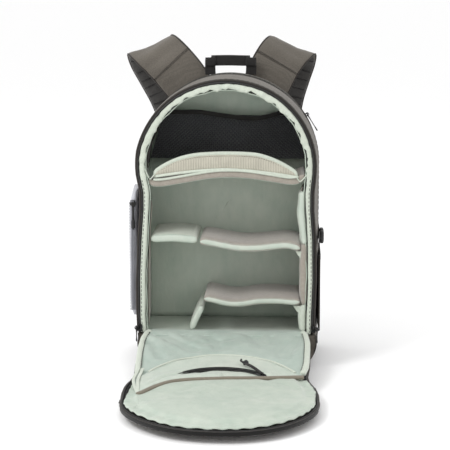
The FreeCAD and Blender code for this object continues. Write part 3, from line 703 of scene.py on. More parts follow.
def rim():
    """Cord-filled taupe edging round the opening, the zip's tape and coil, and piping behind."""
    edge_low = FLOOR + 0.002
    step = 0.004
    path = arch_path(0.0004, FRONT - 0.0015, edge_low, step)
    strip("rim_edging", path, (0.0019, 0.0023, 10), arch_ups(edge_low, step), "outer_dark", "outer_fabric",
          BAG)
    tape = arch_rows([(0.001, ZIP_FRONT + 0.0015), (0.001, FRONT), (0.0062, FRONT),
                      (0.0062, ZIP_FRONT + 0.0015)], edge_low, 0.005)
    piece("main_zip_tape_body", *loft(tape), "zip_tape", "zip_tape", BAG, ("main_zip_body",))
    coil("main_zip_coil_body", arch_path(0.0034, ZIP_FRONT + 0.0008, edge_low, COIL_STEP), 0.0012, 0.0014,
         arch_ups(edge_low, COIL_STEP), BAG)
    back = [(x, BACK + 0.0015, max(z, 0.0021)) for x, z, _, _ in full_line(0.0005)]
    ups = [(nx, 0, nz) for _, _, nx, nz in full_line(0.0005)]
    strip("rear_piping", back, (0.002, 0.002, 10), ups, "outer_dark", "outer_fabric", BAG, loop=True)


def binding():
    """Gathered sage binding over the padded walls' front edge: wavy round the arch, flatter below."""
    outer, inner = 0.0052, WALL_INSET
    middle, reach = (outer + inner) / 2, (inner - outer) / 2
    section = [(middle + u, ZIP_FRONT + 0.0035 - v) for u, v in super_section(reach, 0.0042, 20, 2.6)]

    def gathers(walked, x, z, k):
        loose = clamp((z - 0.30) / 0.05)
        inwards = max(0.0, (section[k][0] - outer) / (inner - outer))
        wave = noisy(walked * 62, 0.3, 1.7) + 0.55 * noisy(walked * 150, 4.1, 0.2)
        pinch = noisy(walked * 95, 8.0, 3.0)
        slack = 0.0011 * noisy(walked * 22, 1.0, 9.0)
        narrow = 0.0026 if x < 0 else 0.0042
        return (
            inwards * (wave * 0.0050 * loose - 0.0016 * loose - narrow * (1 - loose) + slack),
            pinch * (0.0022 * loose + 0.0004),
        )

    rows = arch_rows(section, FLOOR + 0.001, 0.003, gathers)
    obj = piece("opening_binding_gathered", *loft(rows), "binding", "lining", BAG, ("opening_binding",))
    line = [p for p in arch_line(FLOOR + 0.001, 0.003) if p[1] < 0.325]
    for name, sign in SIDES:
        path = [on_wall(*point[:4], outer + 0.0024, ZIP_FRONT - 0.0001)
                for point in line if point[0] * sign > 0]
        piece("binding_stitches_" + name, *stitches(path, (0, -1, 0), 0.004, 0.003, 0.0006), "thread",
              "lining", BAG)


def base():
    """Coated fabric under the bag and round its corners, and the padded lip under the opening."""
    y0, y1 = low("base_fabric").y, high("base_fabric").y
    section = band_section(0.0, 0.0022, y0, y1, 0.0, 14, 0.002)
    rows = []
    for x, z, nx, nz in base_line():
        row = []
        for inset, y in section:
            soft = 0.0015 * max(noisy(x * 14, y * 16, 5), 0) if nz > -0.9 else 0.0
            row.append((x - nx * (inset + soft), y, z - nz * (inset + soft)))
        rows.append(row)
    piece("base_shell", *loft(rows), "base", "outer_fabric", BAG, ("base_fabric", "base_pad"))
    top = high("front_lip_panel").z
    profile = smooth_path([
        (FRONT, 0.004), (LIP + 0.003, 0.004), (LIP + 0.0004, 0.010), (LIP, 0.022), (LIP + 0.0012, 0.033),
        (-0.0850, 0.0425), (-0.0818, 0.050), (FRONT - 0.001, top), (FRONT + 0.006, top - 0.002),
    ], 4)
    rows = []
    width = HALF - 0.003
    for i in range(61):
        x = -width + 2 * width * i / 60
        edge = max(0.0, (abs(x) - width + 0.036) / 0.036)
        lift = high("base_fabric").z * (1 - math.sqrt(max(1 - edge * edge, 0.0)))
        dent = 0.0012 * noisy(x * 30, 0, 2)
        rows.append([(x, y + (dent if y < FRONT - 0.005 else 0), max(z, lift + 0.002)) for y, z in profile])
    obj = piece("front_lip", *loft(rows), "outer_fabric", "outer_fabric", BAG, ("front_lip_panel",))


def back_panel():
    """Padded panel against the wearer's back."""
    line = [(x, z) for x, z, _, _ in full_line(0.0015)]
    middle_z = 0.25
    rows = []
    edge = [(1.0, BACK + 0.001), (1.0, BACK + 0.0035), (0.992, PANEL_BACK - 0.0012)]
    for share, y in edge + [(share, PANEL_BACK) for share in (0.975, 0.9, 0.75, 0.5, 0.25, 0.08)]:
        rows.append([(x * share, y, middle_z + (z - middle_z) * share) for x, z in line])
    obj = piece("back_panel_cover", *loft(rows), "outer_fabric", "outer_fabric", BAG, ("back_panel",))
    rumple(obj, 0.0008, 0.03, 3, lambda p: 1.0 if p.y > PANEL_BACK - 0.0005 else 0.0)


# ------------------------------------------------------------------ body: inside


def lining():
    """Sage lining of the walls and arch, the rear wall, and the floor."""
    depths = np.linspace(FRONT - 0.001, WALL + 0.001, 22)
    grid = []
    for x, z, nx, nz, walked in arch_line(FLOOR - 0.001, 0.006):
        row = []
        for y in depths:
            crease = 0.0016 * noisy(walked * 26, y * 10, 4) + 0.0008 * noisy(walked * 70, y * 30, 1)
            row.append(on_wall(x, z, nx, nz, wall_inset(x, y, z) + crease, y))
        grid.append(row)
    piece("compartment_lining", *sheet_solid(grid[::-1], 0.0015), "lining", "lining", BAG,
          ("camera_lining",))
    line = [(x, z) for x, z, _, _ in full_line(0.011, 0.006)]
    middle_z = 0.27
    rows = []
    for share in (0.02, 0.1, 0.2, 0.3, 0.4, 0.5, 0.6, 0.7, 0.8, 0.88, 0.95, 1.0):
        rows.append([(x * share, WALL, middle_z + (max(z, FLOOR - 0.001) - middle_z) * share)
                     for x, z in line])
    rows += [[(x, y + 0.006, z) for x, y, z in rows[-1]]]
    rows += [[(x * 0.5, y, middle_z + (z - middle_z) * 0.5) for x, y, z in rows[-1]]]
    obj = piece("rear_wall_lining", *loft(rows), "lining", "lining", BAG, ("divider_wall",))
    rumple(obj, 0.0022, 0.05, 6, lambda p: 1.0 if p.y < WALL + 0.001 else 0.0)
    rumple(obj, 0.0008, 0.016, 9, lambda p: 1.0 if p.y < WALL + 0.001 else 0.0)
    half = HALF - 0.012
    grid = []
    for i in range(60):
        x = -half + 2 * half * i / 59
        row = []
        for k in range(22):
            y = FRONT - 0.001 + (WALL - FRONT) * k / 21
            row.append((x, y, FLOOR + 0.0006 + 0.0012 * noisy(x * 30, y * 22, 7)))
        grid.append(row)
    piece("compartment_floor", *sheet_solid(grid, 0.0014), "lining", "lining", BAG)


def wall_patch(name, side, z0, z1, y0, y1, material, raised=0.0008, thickness=0.0012, wave=0.0):
    """A sheet that lies on a side wall's lining."""
    grid = []
    for i in range(28):
        z = z0 + (z1 - z0) * i / 27
        row = []
        for k in range(14):
            y = y0 + (y1 - y0) * k / 13
            x, nx, nz = side * HALF, float(side), 0.0
            zz = z
            if z > ARCH:
                a = math.asin(min((z - ARCH) / HALF, 0.98))
                nx, nz = side * math.cos(a), math.sin(a)
                x, zz = nx * HALF, ARCH + nz * HALF
            rough = wave * noisy(z * 40, y * 40, 3.0)
            row.append(on_wall(x, zz, nx, nz, wall_inset(x, y, zz) + raised + 0.0018 + rough, y))
        grid.append(row)
    if side < 0:
        grid = grid[::-1]
    return piece(name, *sheet_solid(grid, thickness), material, "lining", BAG)


def divider_pad(name, body, node, line, depth, thickness, material, band, band_height):
    """A pad along a line of (x, z) points, with a soft band over its front edge and a seam on each side."""
    y0, y1 = depth
    path = even_path(smooth_path([(x, 0.0, z) for x, z in line], 8), 0.004)
    count = len(path)
    middle, half = (y0 + y1) / 2, (y1 - y0) / 2
    normals = []
    for way in directions(path):
        normal = Vector((-way[2], 0, way[0]))
        normals.append(-normal if normal.z < 0 else normal)

    def pad_point(p, normal, swell, c, s):
        y = middle + c * half * (0.985 + 0.015 * swell)
        puff = 1 + 0.10 * noisy(p[0] * 24, y * 24, s * 2 + 5)
        q = Vector(p) + normal * (s * thickness / 2 * swell * puff)
        return (q.x, y, q.z)

    def band_point(p, normal, swell, c, s):
        puff = 1 + 0.09 * noisy(p[0] * 60, s * 3, 8)
        q = Vector(p) + normal * (s * band_height / 2 * swell * puff)
        return (q.x, y0 + 0.0045 - c * 0.0052 * (0.6 + 0.4 * swell), q.z)

    def rows_along(point, section, start, run, least):
        """Rows of a section along the line, closed softly over the last run metres of both ends."""
        rows = []
        for i, p in enumerate(path):
            t = i / (count - 1)
            ends = min(1.0, (min(t, 1 - t) * (count - 1) * 0.004 + start) / run)
            rows.append([point(p, normals[i], rounded(ends, least), c, s) for c, s in section])
        return rows

    rows = rows_along(pad_point, super_section(1.0, 1.0, 40, 5.0), 0.0012, 0.009, 0.04)
    piece(name, *loft(rows), material, "divider_fleece", body, (node,))
    rows = rows_along(band_point, super_section(1.0, 1.0, 18, 2.8), 0.001, 0.010, 0.03)
    piece(name + "_band", *loft(rows), band, "lining", body)
    for level, side in (("low", -1), ("high", 1)):
        seam = []
        for p, normal in zip(path[2:-2], normals):
            q = Vector(p) + normal * (side * band_height * 0.47)
            seam.append((q.x, y0 + 0.0012, q.z))
        piece(f"{name}_stitches_{level}", *stitches(seam, (0, -1, 0), 0.0022, 0.0016, 0.0004),
              "pale_thread", "lining", body)


def dividers():
    """The four small dividers, each bent as it lies."""
    y0, y1 = low("divider_mid_left").y, high("divider_mid_left").y
    depth = (y0, y1)
    divider_pad("divider_middle_left", "divider_mid_left", "divider_mid_left",
                [(-0.129, 0.219), (-0.115, 0.2205), (-0.090, 0.2215), (-0.066, 0.2195), (-0.0505, 0.2185)],
                depth, 0.0165, "binding", "lining_pale", 0.0125)
    divider_pad("divider_middle_right", "divider_mid_right", "divider_mid_right",
                [(-0.0455, 0.2155), (-0.031, 0.2145), (-0.005, 0.2095), (0.022, 0.2055), (0.052, 0.2055),
                 (0.080, 0.2085), (0.100, 0.2105), (0.115, 0.2080), (0.1245, 0.2045)],
                depth, 0.0165, "fleece", "lining_pale", 0.0105)
    divider_pad("divider_lower_right", "divider_low_right", "divider_low_right",
                [(-0.0390, 0.1165), (-0.026, 0.1150), (0.0, 0.1090), (0.025, 0.1085), (0.055, 0.1130),
                 (0.090, 0.1135), (0.112, 0.1120), (0.1245, 0.1125)],
                depth, 0.0145, "fleece", "lining_pale", 0.0092)
    divider_pad("divider_upright_pad", "divider_upright", "divider_upright",
                [(-0.0440, 0.1035), (-0.0450, 0.0975), (-0.0520, 0.084), (-0.0575, 0.071),
                 (-0.0605, 0.0630)], depth, 0.0115, "binding", "lining_pale", 0.0105)


def shelf():
    """Padded shelf, its two ends turned up against the walls, and the half-round flap that stands on it."""
    y0, y1 = low("shelf").y, high("shelf").y
    line = [(-0.1315, 0.3200), (-0.1230, 0.3150), (-0.1080, 0.3155), (-0.070, 0.3220), (-0.030, 0.3290),
            (0.0, 0.3312), (0.035, 0.3298), (0.075, 0.3242), (0.104, 0.3198), (0.119, 0.3212),
            (0.131, 0.3290)]
    divider_pad("shelf_pad", "shelf", "shelf", line, (y0, y1), 0.0125, "fleece", "fleece", 0.0118)
    path = smooth_path([(x, y0 - 0.0008, z + 0.0066) for x, z in line[1:-1]], 6)
    tube("shelf_piping", path, 0.0021, "binding", "lining", "shelf", (0, -1, 0))
    flap()


def flap():
    """The flap: ribbed beige cloth with a pale binding along its curved edge, folded up from the shelf."""
    outline = [(-0.1205, 0.3260), (-0.1210, 0.3315), (-0.1185, 0.3370), (-0.104, 0.3465), (-0.082, 0.3565),
               (-0.056, 0.3630), (-0.030, 0.3655), (0.0, 0.3665), (0.030, 0.3660), (0.052, 0.3640),
               (0.070, 0.3590), (0.086, 0.3525), (0.101, 0.3445), (0.1140, 0.3360), (0.1160, 0.3310),
               (0.1160, 0.3265)]
    top = even_path(smooth_path([(x, 0, z) for x, z in outline], 6), 0.003)
    y_front = low("shelf_flap").y
    thick = 0.0034

    def foot(x):
        return 0.3400 - 0.0125 * (abs(x + 0.002) / 0.119) ** 1.6

    grid = []
    for p in top:
        row = []
        for k in range(16):
            t = k / 15
            z = foot(p[0]) + (p[2] - foot(p[0])) * t
            lean = 0.0016 * math.sin(math.pi * t) + 0.0008 * noisy(p[0] * 30, t * 3, 6)
            row.append((p[0], y_front + 0.0012 - lean, z))
        grid.append(row)
    panel = piece("flap_panel", *sheet_solid(grid, thick), "flap_rib", "divider_fleece", "flap",
                  ("shelf_flap",))
    edge = [(p[0], y_front + 0.0026, p[2]) for p in top]
    strip("flap_binding", edge, (0.0032, 0.0027, 12, 2.6), (0, -1, 0), "binding", "lining", "flap",
          ends=0.002)
    inner = [(p[0] * 0.985, y_front + 0.0004, p[2] - 0.0044) for p in top[7:-7]]
    piece("flap_stitches", *stitches(inner, (0, -1, 0), 0.0024, 0.0018, 0.00035), "thread", "lining",
          "flap")
    hem = [(x, y_front - 0.0002, foot(x) - 0.0006) for x in np.linspace(-0.119, 0.115, 70)]
    strip("flap_fold", hem, (0.0024, 0.0020, 10, 2.4), (0, -1, 0), "binding", "lining", "flap", ends=0.0015)


def net(name, corners, pitch, wire, material, slot, body, dent=0.0, replaces=()):
    """A net of crossing cords over a four-sided area, its holes open."""
    a, b, c, d = (np.array(p, float) for p in corners)
    wide = max(int(np.linalg.norm(b - a) / pitch), 2)
    tall = max(int(np.linalg.norm(d - a) / pitch), 2)
    points, faces, index = [], [], {}
    for j in range(tall + 1):
        for i in range(wide + 1):
            u, v = i / wide, j / tall
            p = (a * (1 - u) + b * u) * (1 - v) + (d * (1 - u) + c * u) * v
            shift = dent * math.sin(math.pi * u) * math.sin(math.pi * v)
            shift += 0.4 * dent * noisy(u * 6, v * 4, 1)
            index[i, j] = len(points)
            points.append((p[0], p[1] - shift, p[2]))
    for j in range(tall):
        for i in range(wide):
            if (i + j) % 2 == 0:
                faces.append((index[i, j], index[i + 1, j], index[i + 1, j + 1]))
                faces.append((index[i, j], index[i + 1, j + 1], index[i, j + 1]))
            else:
                faces.append((index[i, j], index[i + 1, j], index[i, j + 1]))
                faces.append((index[i + 1, j], index[i + 1, j + 1], index[i, j + 1]))
    obj = piece(name, points, faces, material, slot, None, replaces)
    net_modifier = obj.modifiers.new("cords", "WIREFRAME")
    net_modifier.thickness = wire
    net_modifier.use_replace = True
    bpy.context.view_layer.objects.active = obj
    for other in bpy.context.selected_objects:
        other.select_set(False)
    obj.select_set(True)
    bpy.ops.object.modifier_apply(modifier=net_modifier.name)
    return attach(obj, body)


def mesh_pocket():
    """Net pocket on the rear wall, its elastic top edge, and black cloth on the walls beside it."""
    y = low("mesh_pocket").y
    z0 = low("mesh_pocket").z + 0.001
    corners = [(-0.138, y, z0), (0.135, y, z0), (0.110, y + 0.004, 0.419), (-0.114, y + 0.004, 0.424)]
    net("mesh_pocket_net", corners, 0.0036, 0.0017, "mesh", "mesh", BAG, 0.007, ("mesh_pocket",))
    top = smooth_path([(-0.119, y + 0.003, 0.4255), (-0.085, y - 0.002, 0.4265),
                       (-0.050, y - 0.005, 0.4265), (-0.010, y - 0.007, 0.4210), (0.041, y - 0.006, 0.4160),
                       (0.080, y - 0.002, 0.4230), (0.114, y + 0.003, 0.4335)], 8)
    strip("mesh_pocket_elastic", top, (0.0014, 0.0042, 12, 4), (0, 0.1, 1), "webbing", "webbing", BAG,
          ends=0.001)
    wall_patch("side_net_left", -1, 0.340, 0.418, FRONT + 0.014, y, "outer_dark", 0.0012, 0.001, 0.0016)
    wall_patch("side_net_right", 1, 0.342, 0.452, FRONT + 0.016, y, "outer_dark", 0.0012, 0.001, 0.0016)


def wall_tab(name, z, width, drop):
    """A pointed sage tab that hangs from the right wall, below a divider's end, and faces the opening."""
    grid = []
    for i in range(16):
        v = i / 15
        row = []
        for k in range(10):
            u = k / 9
            reach = width * math.sqrt(max(1 - v, 0.0)) * (0.55 + 0.45 * math.cos(math.pi * v))
            x = 0.1265 - max(reach, 0.0006) * u
            y = FRONT + 0.0020 + 0.006 * u + 0.0016 * math.sin(math.pi * v * 2 + u)
            row.append((x, y, z - drop * v * (1 - 0.2 * u)))
        grid.append(row)
    return piece(name, *sheet_solid(grid[::-1], 0.0011), "binding", "lining", BAG)


def wall_pads():
    """Padded panels on the right wall beside the opening: sage, fleece and sage, from the floor up."""
    for name, z0, z1, material in (("lower", 0.0615, 0.1075, "binding"),
                                   ("middle", 0.1085, 0.2125, "fleece"),
                                   ("upper", 0.2135, 0.3020, "lining_pale")):
        rows = []
        heights = np.linspace(z0, z1, max(int((z1 - z0) / 0.0025), 8))
        for z in heights:
            ends = min(1.0, (min(z - z0, z1 - z) + 0.0006) / 0.005)
            swell = rounded(ends, 0.03)
            outer = HALF - 0.0128 - waist(HALF, FRONT, z)
            bulge = 0.0030 * math.sin(math.pi * (z - z0) / (z1 - z0)) + 0.0012 * noisy(z * 40, 3, 1)
            half = (0.0118 + bulge) / 2
            row = []
            for c, s in super_section(1.0, 1.0, 32, 3.0):
                puff = 1 + 0.10 * noisy(s * 2, c * 2, z * 30)
                row.append((outer - half + s * half * swell * puff,
                            FRONT + 0.0215 + c * 0.0230 * (0.97 + 0.03 * swell), z))
            rows.append(row)
        piece("wall_pad_" + name, *loft(rows), material, "divider_fleece", BAG)


def walls():
    """Fleece patch, loose tabs and a flat sage strip on the side walls."""
    wall_patch("fleece_patch_right", 1, 0.066, 0.196, FRONT + 0.010, WALL - 0.008, "fleece", 0.0016, 0.0016,
               0.0008)
    wall_patch("sage_strip_right", 1, 0.200, 0.285, FRONT + 0.010, WALL - 0.020, "lining_pale", 0.0016,
               0.0014, 0.0014)
    wall_patch("fleece_patch_upper_right", 1, 0.290, 0.309, FRONT + 0.012, WALL - 0.030, "fleece", 0.0014,
               0.0014, 0.0008)
    wall_patch("fleece_patch_left", -1, 0.068, 0.280, FRONT + 0.014, WALL - 0.010, "fleece", 0.0012, 0.0014,
               0.0008)
    wall_pads()
    wall_tab("wall_tab_upper", 0.1995, 0.010, 0.024)
    wall_tab("wall_tab_lower", 0.1045, 0.013, 0.030)
    for name, side, points in (("left", -1, [(-0.1385, 0.3400), (-0.1345, 0.3310), (-0.1300, 0.3228),
                                             (-0.1262, 0.3255), (-0.1225, 0.3300)]),
                               ("right", 1, [(0.1375, 0.3350), (0.1335, 0.3300), (0.1270, 0.3225),
                                             (0.1222, 0.3205), (0.1180, 0.3265)])):
        path = smooth_path([(x, FRONT + 0.0015, z) for x, z in points], 6)
        strip("shelf_end_fold_" + name, path, (0.0040, 0.0010, 12, 3), (0.5 * side, 0.0, 0.85), "binding",
              "lining", "shelf", ends=0.001)


# ------------------------------------------------------------------ body: outside


def pillow(name, outline, y0, y1, material, slot, body, replaces=(), amount=0.0008):
    """A padded panel: an outline of (x, z) points swollen from y0 out to y1, thin round its edge."""
    line = even_path(smooth_path([(x, 0, z) for x, z in outline], 4, True), 0.005)
    if np.linalg.norm(line[0] - line[-1]) < 0.003:
        line = line[:-1]
    middle = line.mean(axis=0)
    rows = [[(x, y0, z) for x, _, z in line]]
    for k in range(1, 15):
        t = k / 14
        share = 1 - 0.97 * t ** 1.7
        height = (1 - (1 - min(t / 0.42, 1.0)) ** 2) ** 0.5
        rows.append([(middle[0] + (x - middle[0]) * share, y0 + (y1 - y0) * (0.25 + 0.75 * height),
                      middle[2] + (z - middle[2]) * share) for x, _, z in line])
    obj = piece(name, *loft(rows), material, slot, body, replaces)
    rumple(obj, amount, 0.025, 5, lambda p: 1.0 if abs(p.y - y0) > 0.002 else 0.0)
    return obj


def ring_line(outline, y, radius, name, material, slot, body):
    """Piping along a closed outline of (x, z) points."""
    line = even_path(smooth_path([(x, y, z) for x, z in outline], 4, True), 0.004)
    if np.linalg.norm(line[0] - line[-1]) < 0.002:
        line = line[:-1]
    return strip(name, line, (radius, radius, 8), (0, 1, 0), material, slot, body, loop=True)


def rounded_box(x0, x1, z0, z1, radius):
    """A rounded rectangle as (x, z) points."""
    out = []
    for cx, cz, start in ((x1 - radius, z1 - radius, 0), (x0 + radius, z1 - radius, 90),
                          (x0 + radius, z0 + radius, 180), (x1 - radius, z0 + radius, 270)):
        for k in range(4):
            a = math.radians(start + 30 * k)
            out.append((cx + math.cos(a) * radius, cz + math.sin(a) * radius))
    return out


def back_padding():
    """Two long back pads, the pad in the small of the back, and the yoke the straps are sewn to."""
    b0, b1 = low("back_pads"), high("back_pads")
    inner = 0.016
    for name, sign in SIDES:
        outline = rounded_box(inner, b1.x, b0.z, b1.z, 0.022)
        outline = [(sign * x, z) for x, z in outline][::sign]
        pillow("back_pad_" + name, outline, PANEL_BACK - 0.001, b1.y, "air_mesh", "foam_pad", BAG,
               ("back_pads",) if sign < 0 else ())
        ring_line(outline, PANEL_BACK + 0.0006, 0.0016, "back_pad_edge_" + name, "outer_dark",
                  "outer_fabric", BAG)
    l0, l1 = low("lumbar_pad"), high("lumbar_pad")
    outline = rounded_box(l0.x, l1.x, l0.z, l1.z, 0.032)
    pillow("lumbar_cushion", outline, PANEL_BACK - 0.001, l1.y, "air_mesh", "foam_pad", BAG,
           ("lumbar_pad",))
    ring_line(outline, PANEL_BACK + 0.0006, 0.0016, "lumbar_edge", "outer_dark", "outer_fabric", BAG)
    yoke = [(-0.112, 0.406), (-0.060, 0.4045), (0.0, 0.404), (0.060, 0.4045), (0.112, 0.406),
            (0.106, 0.424), (0.100, 0.438), (0.082, 0.452), (0.060, 0.460), (0.0, 0.462), (-0.060, 0.460),
            (-0.082, 0.452), (-0.100, 0.438), (-0.106, 0.424)]
    pillow("yoke_plate", yoke, PANEL_BACK - 0.001, PANEL_BACK + 0.0030, "outer_fabric", "outer_fabric", BAG,
           ("strap_yoke",), amount=0.0004)
    inner_line = [(x * 0.93, 0.433 + (z - 0.433) * 0.84) for x, z in yoke]
    line = smooth_path([(x, PANEL_BACK + 0.0030, z) for x, z in inner_line], 4, True)
    piece("yoke_stitches", *stitches(line, (0, 1, 0), 0.003, 0.002, 0.0005), "thread", "outer_fabric", BAG)


# A strap from the yoke to its ladder lock: x, y, z, its width's direction (x, z), half width, and how much of
# LEFT_SPREAD moves the left strap outwards there
STRAP_LINE = [
    (0.044, 0.0945, 0.418, 0.89, -0.46, 0.034, 0.00), (0.055, 0.0950, 0.450, 0.89, -0.46, 0.038, 0.20),
    (0.067, 0.0970, 0.478, 0.89, -0.46, 0.041, 0.45), (0.079, 0.1010, 0.503, 0.90, -0.44, 0.041, 0.70),
    (0.091, 0.1100, 0.521, 0.91, -0.42, 0.041, 0.90), (0.102, 0.1240, 0.530, 0.92, -0.40, 0.041, 1.00),
    (0.110, 0.1410, 0.528, 0.92, -0.38, 0.041, 1.00), (0.109, 0.1520, 0.510, 0.93, -0.37, 0.040, 0.95),
    (0.101, 0.1580, 0.482, 0.94, -0.34, 0.039, 0.80), (0.091, 0.1620, 0.440, 0.96, -0.28, 0.037, 0.55),
    (0.085, 0.1660, 0.385, 0.99, -0.14, 0.035, 0.25), (0.084, 0.1680, 0.325, 1.00, 0.05, 0.033, 0.05),
    (0.092, 0.1640, 0.262, 0.98, 0.20, 0.031, 0.00), (0.104, 0.1540, 0.204, 0.96, 0.28, 0.027, 0.00),
    (0.110, 0.1470, 0.176, 0.96, 0.28, 0.019, 0.00),
]
STRAP_THICKNESS = 0.0105
LEFT_SPREAD = 0.038


def strap_frames(side):
    """Distances, middles, width and through directions and half widths along the right or left strap."""
    table = smooth_path(STRAP_LINE, 9)
    middles = table[:, :3].copy()
    if side < 0:
        middles[:, 0] += LEFT_SPREAD * table[:, 6]
    middles[:, 0] *= side
    step = np.linalg.norm(np.diff(middles, axis=0), axis=1)
    distance = np.concatenate([[0], np.cumsum(step)])
    at = np.linspace(0, distance[-1], int(distance[-1] / 0.0045) + 1)
    middles = np.stack([np.interp(at, distance, middles[:, k]) for k in range(3)], axis=1)
    wide = np.stack([np.interp(at, distance, table[:, 3] * side), np.zeros(len(at)),
                     np.interp(at, distance, table[:, 4])], axis=1)
    half = np.interp(at, distance, table[:, 5])
    tangent = directions(middles)
    wide -= tangent * (wide * tangent).sum(axis=1, keepdims=True)
    wide /= np.linalg.norm(wide, axis=1, keepdims=True)
    through = np.cross(tangent, wide) * side
    return at, middles, wide, through, half


def shoulder_strap(side):
    """One padded strap: cloth outside, net inside with bands across it, piping down both edges."""
    name = "right" if side > 0 else "left"
    body = "strap_" + name
    at, middles, wide, through, half = strap_frames(side)
    length = at[-1]
    thick = STRAP_THICKNESS
    seed = 3.0 if side > 0 else 11.0
    section = super_section(1.0, 1.0, 44, 3.4)
    hinge = pivot("shoulder_strap_" + name)
    axis = Vector(JOINTS["shoulder_strap_" + name]["axis"])
    rise_way = axis.cross(Vector((0, 1, 0))).normalized()
    if rise_way.z < 0:
        rise_way = -rise_way
    past = [(Vector(m) - hinge).dot(rise_way) for m in middles]
    split = next(i for i, d in enumerate(past) if d > 0.012)

    def row_at(i):
        ends = min(1.0, (min(at[i], length - at[i]) + 0.002) / 0.016)
        swell = 0.35 + 0.65 * rounded(ends)
        bend = max(0.0, 1 - abs(at[i] - 0.150) / 0.085)
        row = []
        for u, w in section:
            fold = 0.0
            for crease in (0.098, 0.128, 0.158, 0.183):
                near = (at[i] - crease - 0.006 * u) / 0.0075
                fold += math.exp(-near * near)
            ripple = noisy(at[i] * 32, u * 1.5, seed) * 0.0016
            rise = (w * thick / 2 + ripple) * swell
            if w > 0:
                rise += 0.0008 * math.cos(2 * math.pi * at[i] / 0.017) - 0.0020 * fold * bend
            else:
                rise += 0.0030 * fold * bend * (1 - 0.5 * u * u)
            across = u * half[i] * (0.97 + 0.03 * swell)
            row.append(tuple(middles[i] + wide[i] * across + through[i] * rise))
        return row

    lookup = [(Vector(m), Vector(t)) for m, t in zip(middles, through)]

    def inside(centre):
        nearest = min(lookup, key=lambda pair: (pair[0] - centre).length_squared)
        return 1 if (centre - nearest[0]).dot(nearest[1]) > 0.0012 else 0

    for part, first, last in (("root", 0, split + 2), ("pad", split, len(at))):
        obj = piece(f"strap_{part}_{name}", *loft([row_at(i) for i in range(first, last)]),
                    ("outer_fabric", "air_mesh"), "outer_fabric", body if part == "pad" else None,
                    ("shoulder_strap_" + name,) if part == "pad" else ())
        repaint(obj, inside)
        if part == "root":
            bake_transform(obj)
    for sign, edge in ((-1, "inner"), (1, "outer")):
        line = [middles[i] + wide[i] * sign * (half[i] + 0.0002) - through[i] * 0.0005
                for i in range(2, len(at) - 3)]
        tube(f"strap_piping_{edge}_{name}", line[split - 2:], 0.0016, "outer_dark", "outer_fabric", body,
             (0.1, 1, 0.1), 8)
        obj = tube(f"strap_root_piping_{edge}_{name}", line[:split + 1], 0.0016, "outer_dark",
                   "outer_fabric", None, (0.1, 1, 0.1), 8)
        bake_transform(obj)
    for index, where in enumerate(np.arange(0.125, length - 0.03, 0.017)):
        i = int(where / length * (len(at) - 1))
        path = [middles[i] + wide[i] * (u * half[i])
                + through[i] * (thick / 2 * (1 - abs(u) ** 6 * 0.6) + 0.0004)
                for u in np.linspace(-0.93, 0.93, 15)]
        tube(f"strap_band_{index + 1}_{name}", path, 0.0011, "webbing", "webbing", body, tuple(through[i]),
             8, flat=0.5)
    chest = [i for i in range(len(at)) if 0.215 < at[i] < length - 0.006]
    centre = [middles[i] - through[i] * (thick / 2 + 0.0012) for i in chest]
    strip("strap_webbing_sewn_" + name, centre, (0.0115, 0.0009, 12, 6),
          [tuple(-through[i]) for i in chest], "webbing", "webbing", body, ends=0.001)
    for index, where in enumerate(np.arange(0.235, length - 0.02, 0.034)):
        i = int(where / length * (len(at) - 1))
        path = [middles[i] + wide[i] * u - through[i] * (thick / 2 + 0.0022)
                for u in (-0.0105, 0.0, 0.0105)]
        piece(f"strap_bartack_{index + 1}_{name}",
              *stitches(path, tuple(-through[i]), 0.0018, 0.0006, 0.0006), "thread", "webbing", body)
    lock_and_webbing(side, name, body, wide[-1])


def lock_and_webbing(side, name, body, wide):
    """Ladder lock at the strap's lower end, and its webbing down towards the bag's corner."""
    wide = Vector(wide)
    down = Vector((side * 0.16, -0.28, -0.95)).normalized()
    middle = (low("ladder_lock_" + name) + high("ladder_lock_" + name)) / 2
    across = wide
    out = down.cross(across).normalized()
    parts = []
    for shift in (-0.0075, 0.0, 0.0075):
        path = [middle + down * shift + across * u for u in (-0.0165, -0.006, 0.006, 0.0165)]
        parts.append(loft(sweep(path, super_section(0.0019, 0.0024, 10, 3), tuple(out), ends=0.001)))
    for u in (-0.0155, 0.0155):
        path = [middle + across * u + down * s for s in (-0.0088, -0.003, 0.003, 0.0088)]
        parts.append(loft(sweep(path, super_section(0.0021, 0.0022, 10, 3), tuple(out), ends=0.001)))
    piece("ladder_lock_frame_" + name, *joined(parts), "moulding", "moulding", body,
          ("ladder_lock_" + name,))
    sag = [(side * 0.110, 0.1440, 0.176), (side * 0.115, 0.1370, 0.152), (side * 0.1235, 0.1270, 0.118),
           (side * 0.1300, 0.1065, 0.086), (side * 0.1325, 0.0955, 0.068)]
    path = even_path(smooth_path(sag, 10), 0.004)
    strip("strap_webbing_run_" + name, path, (0.0009, 0.0122, 14, 7), (side * 0.95, 0.0, 0.28), "webbing",
          "webbing", body, ("strap_webbing_" + name,), ends=0.0008)


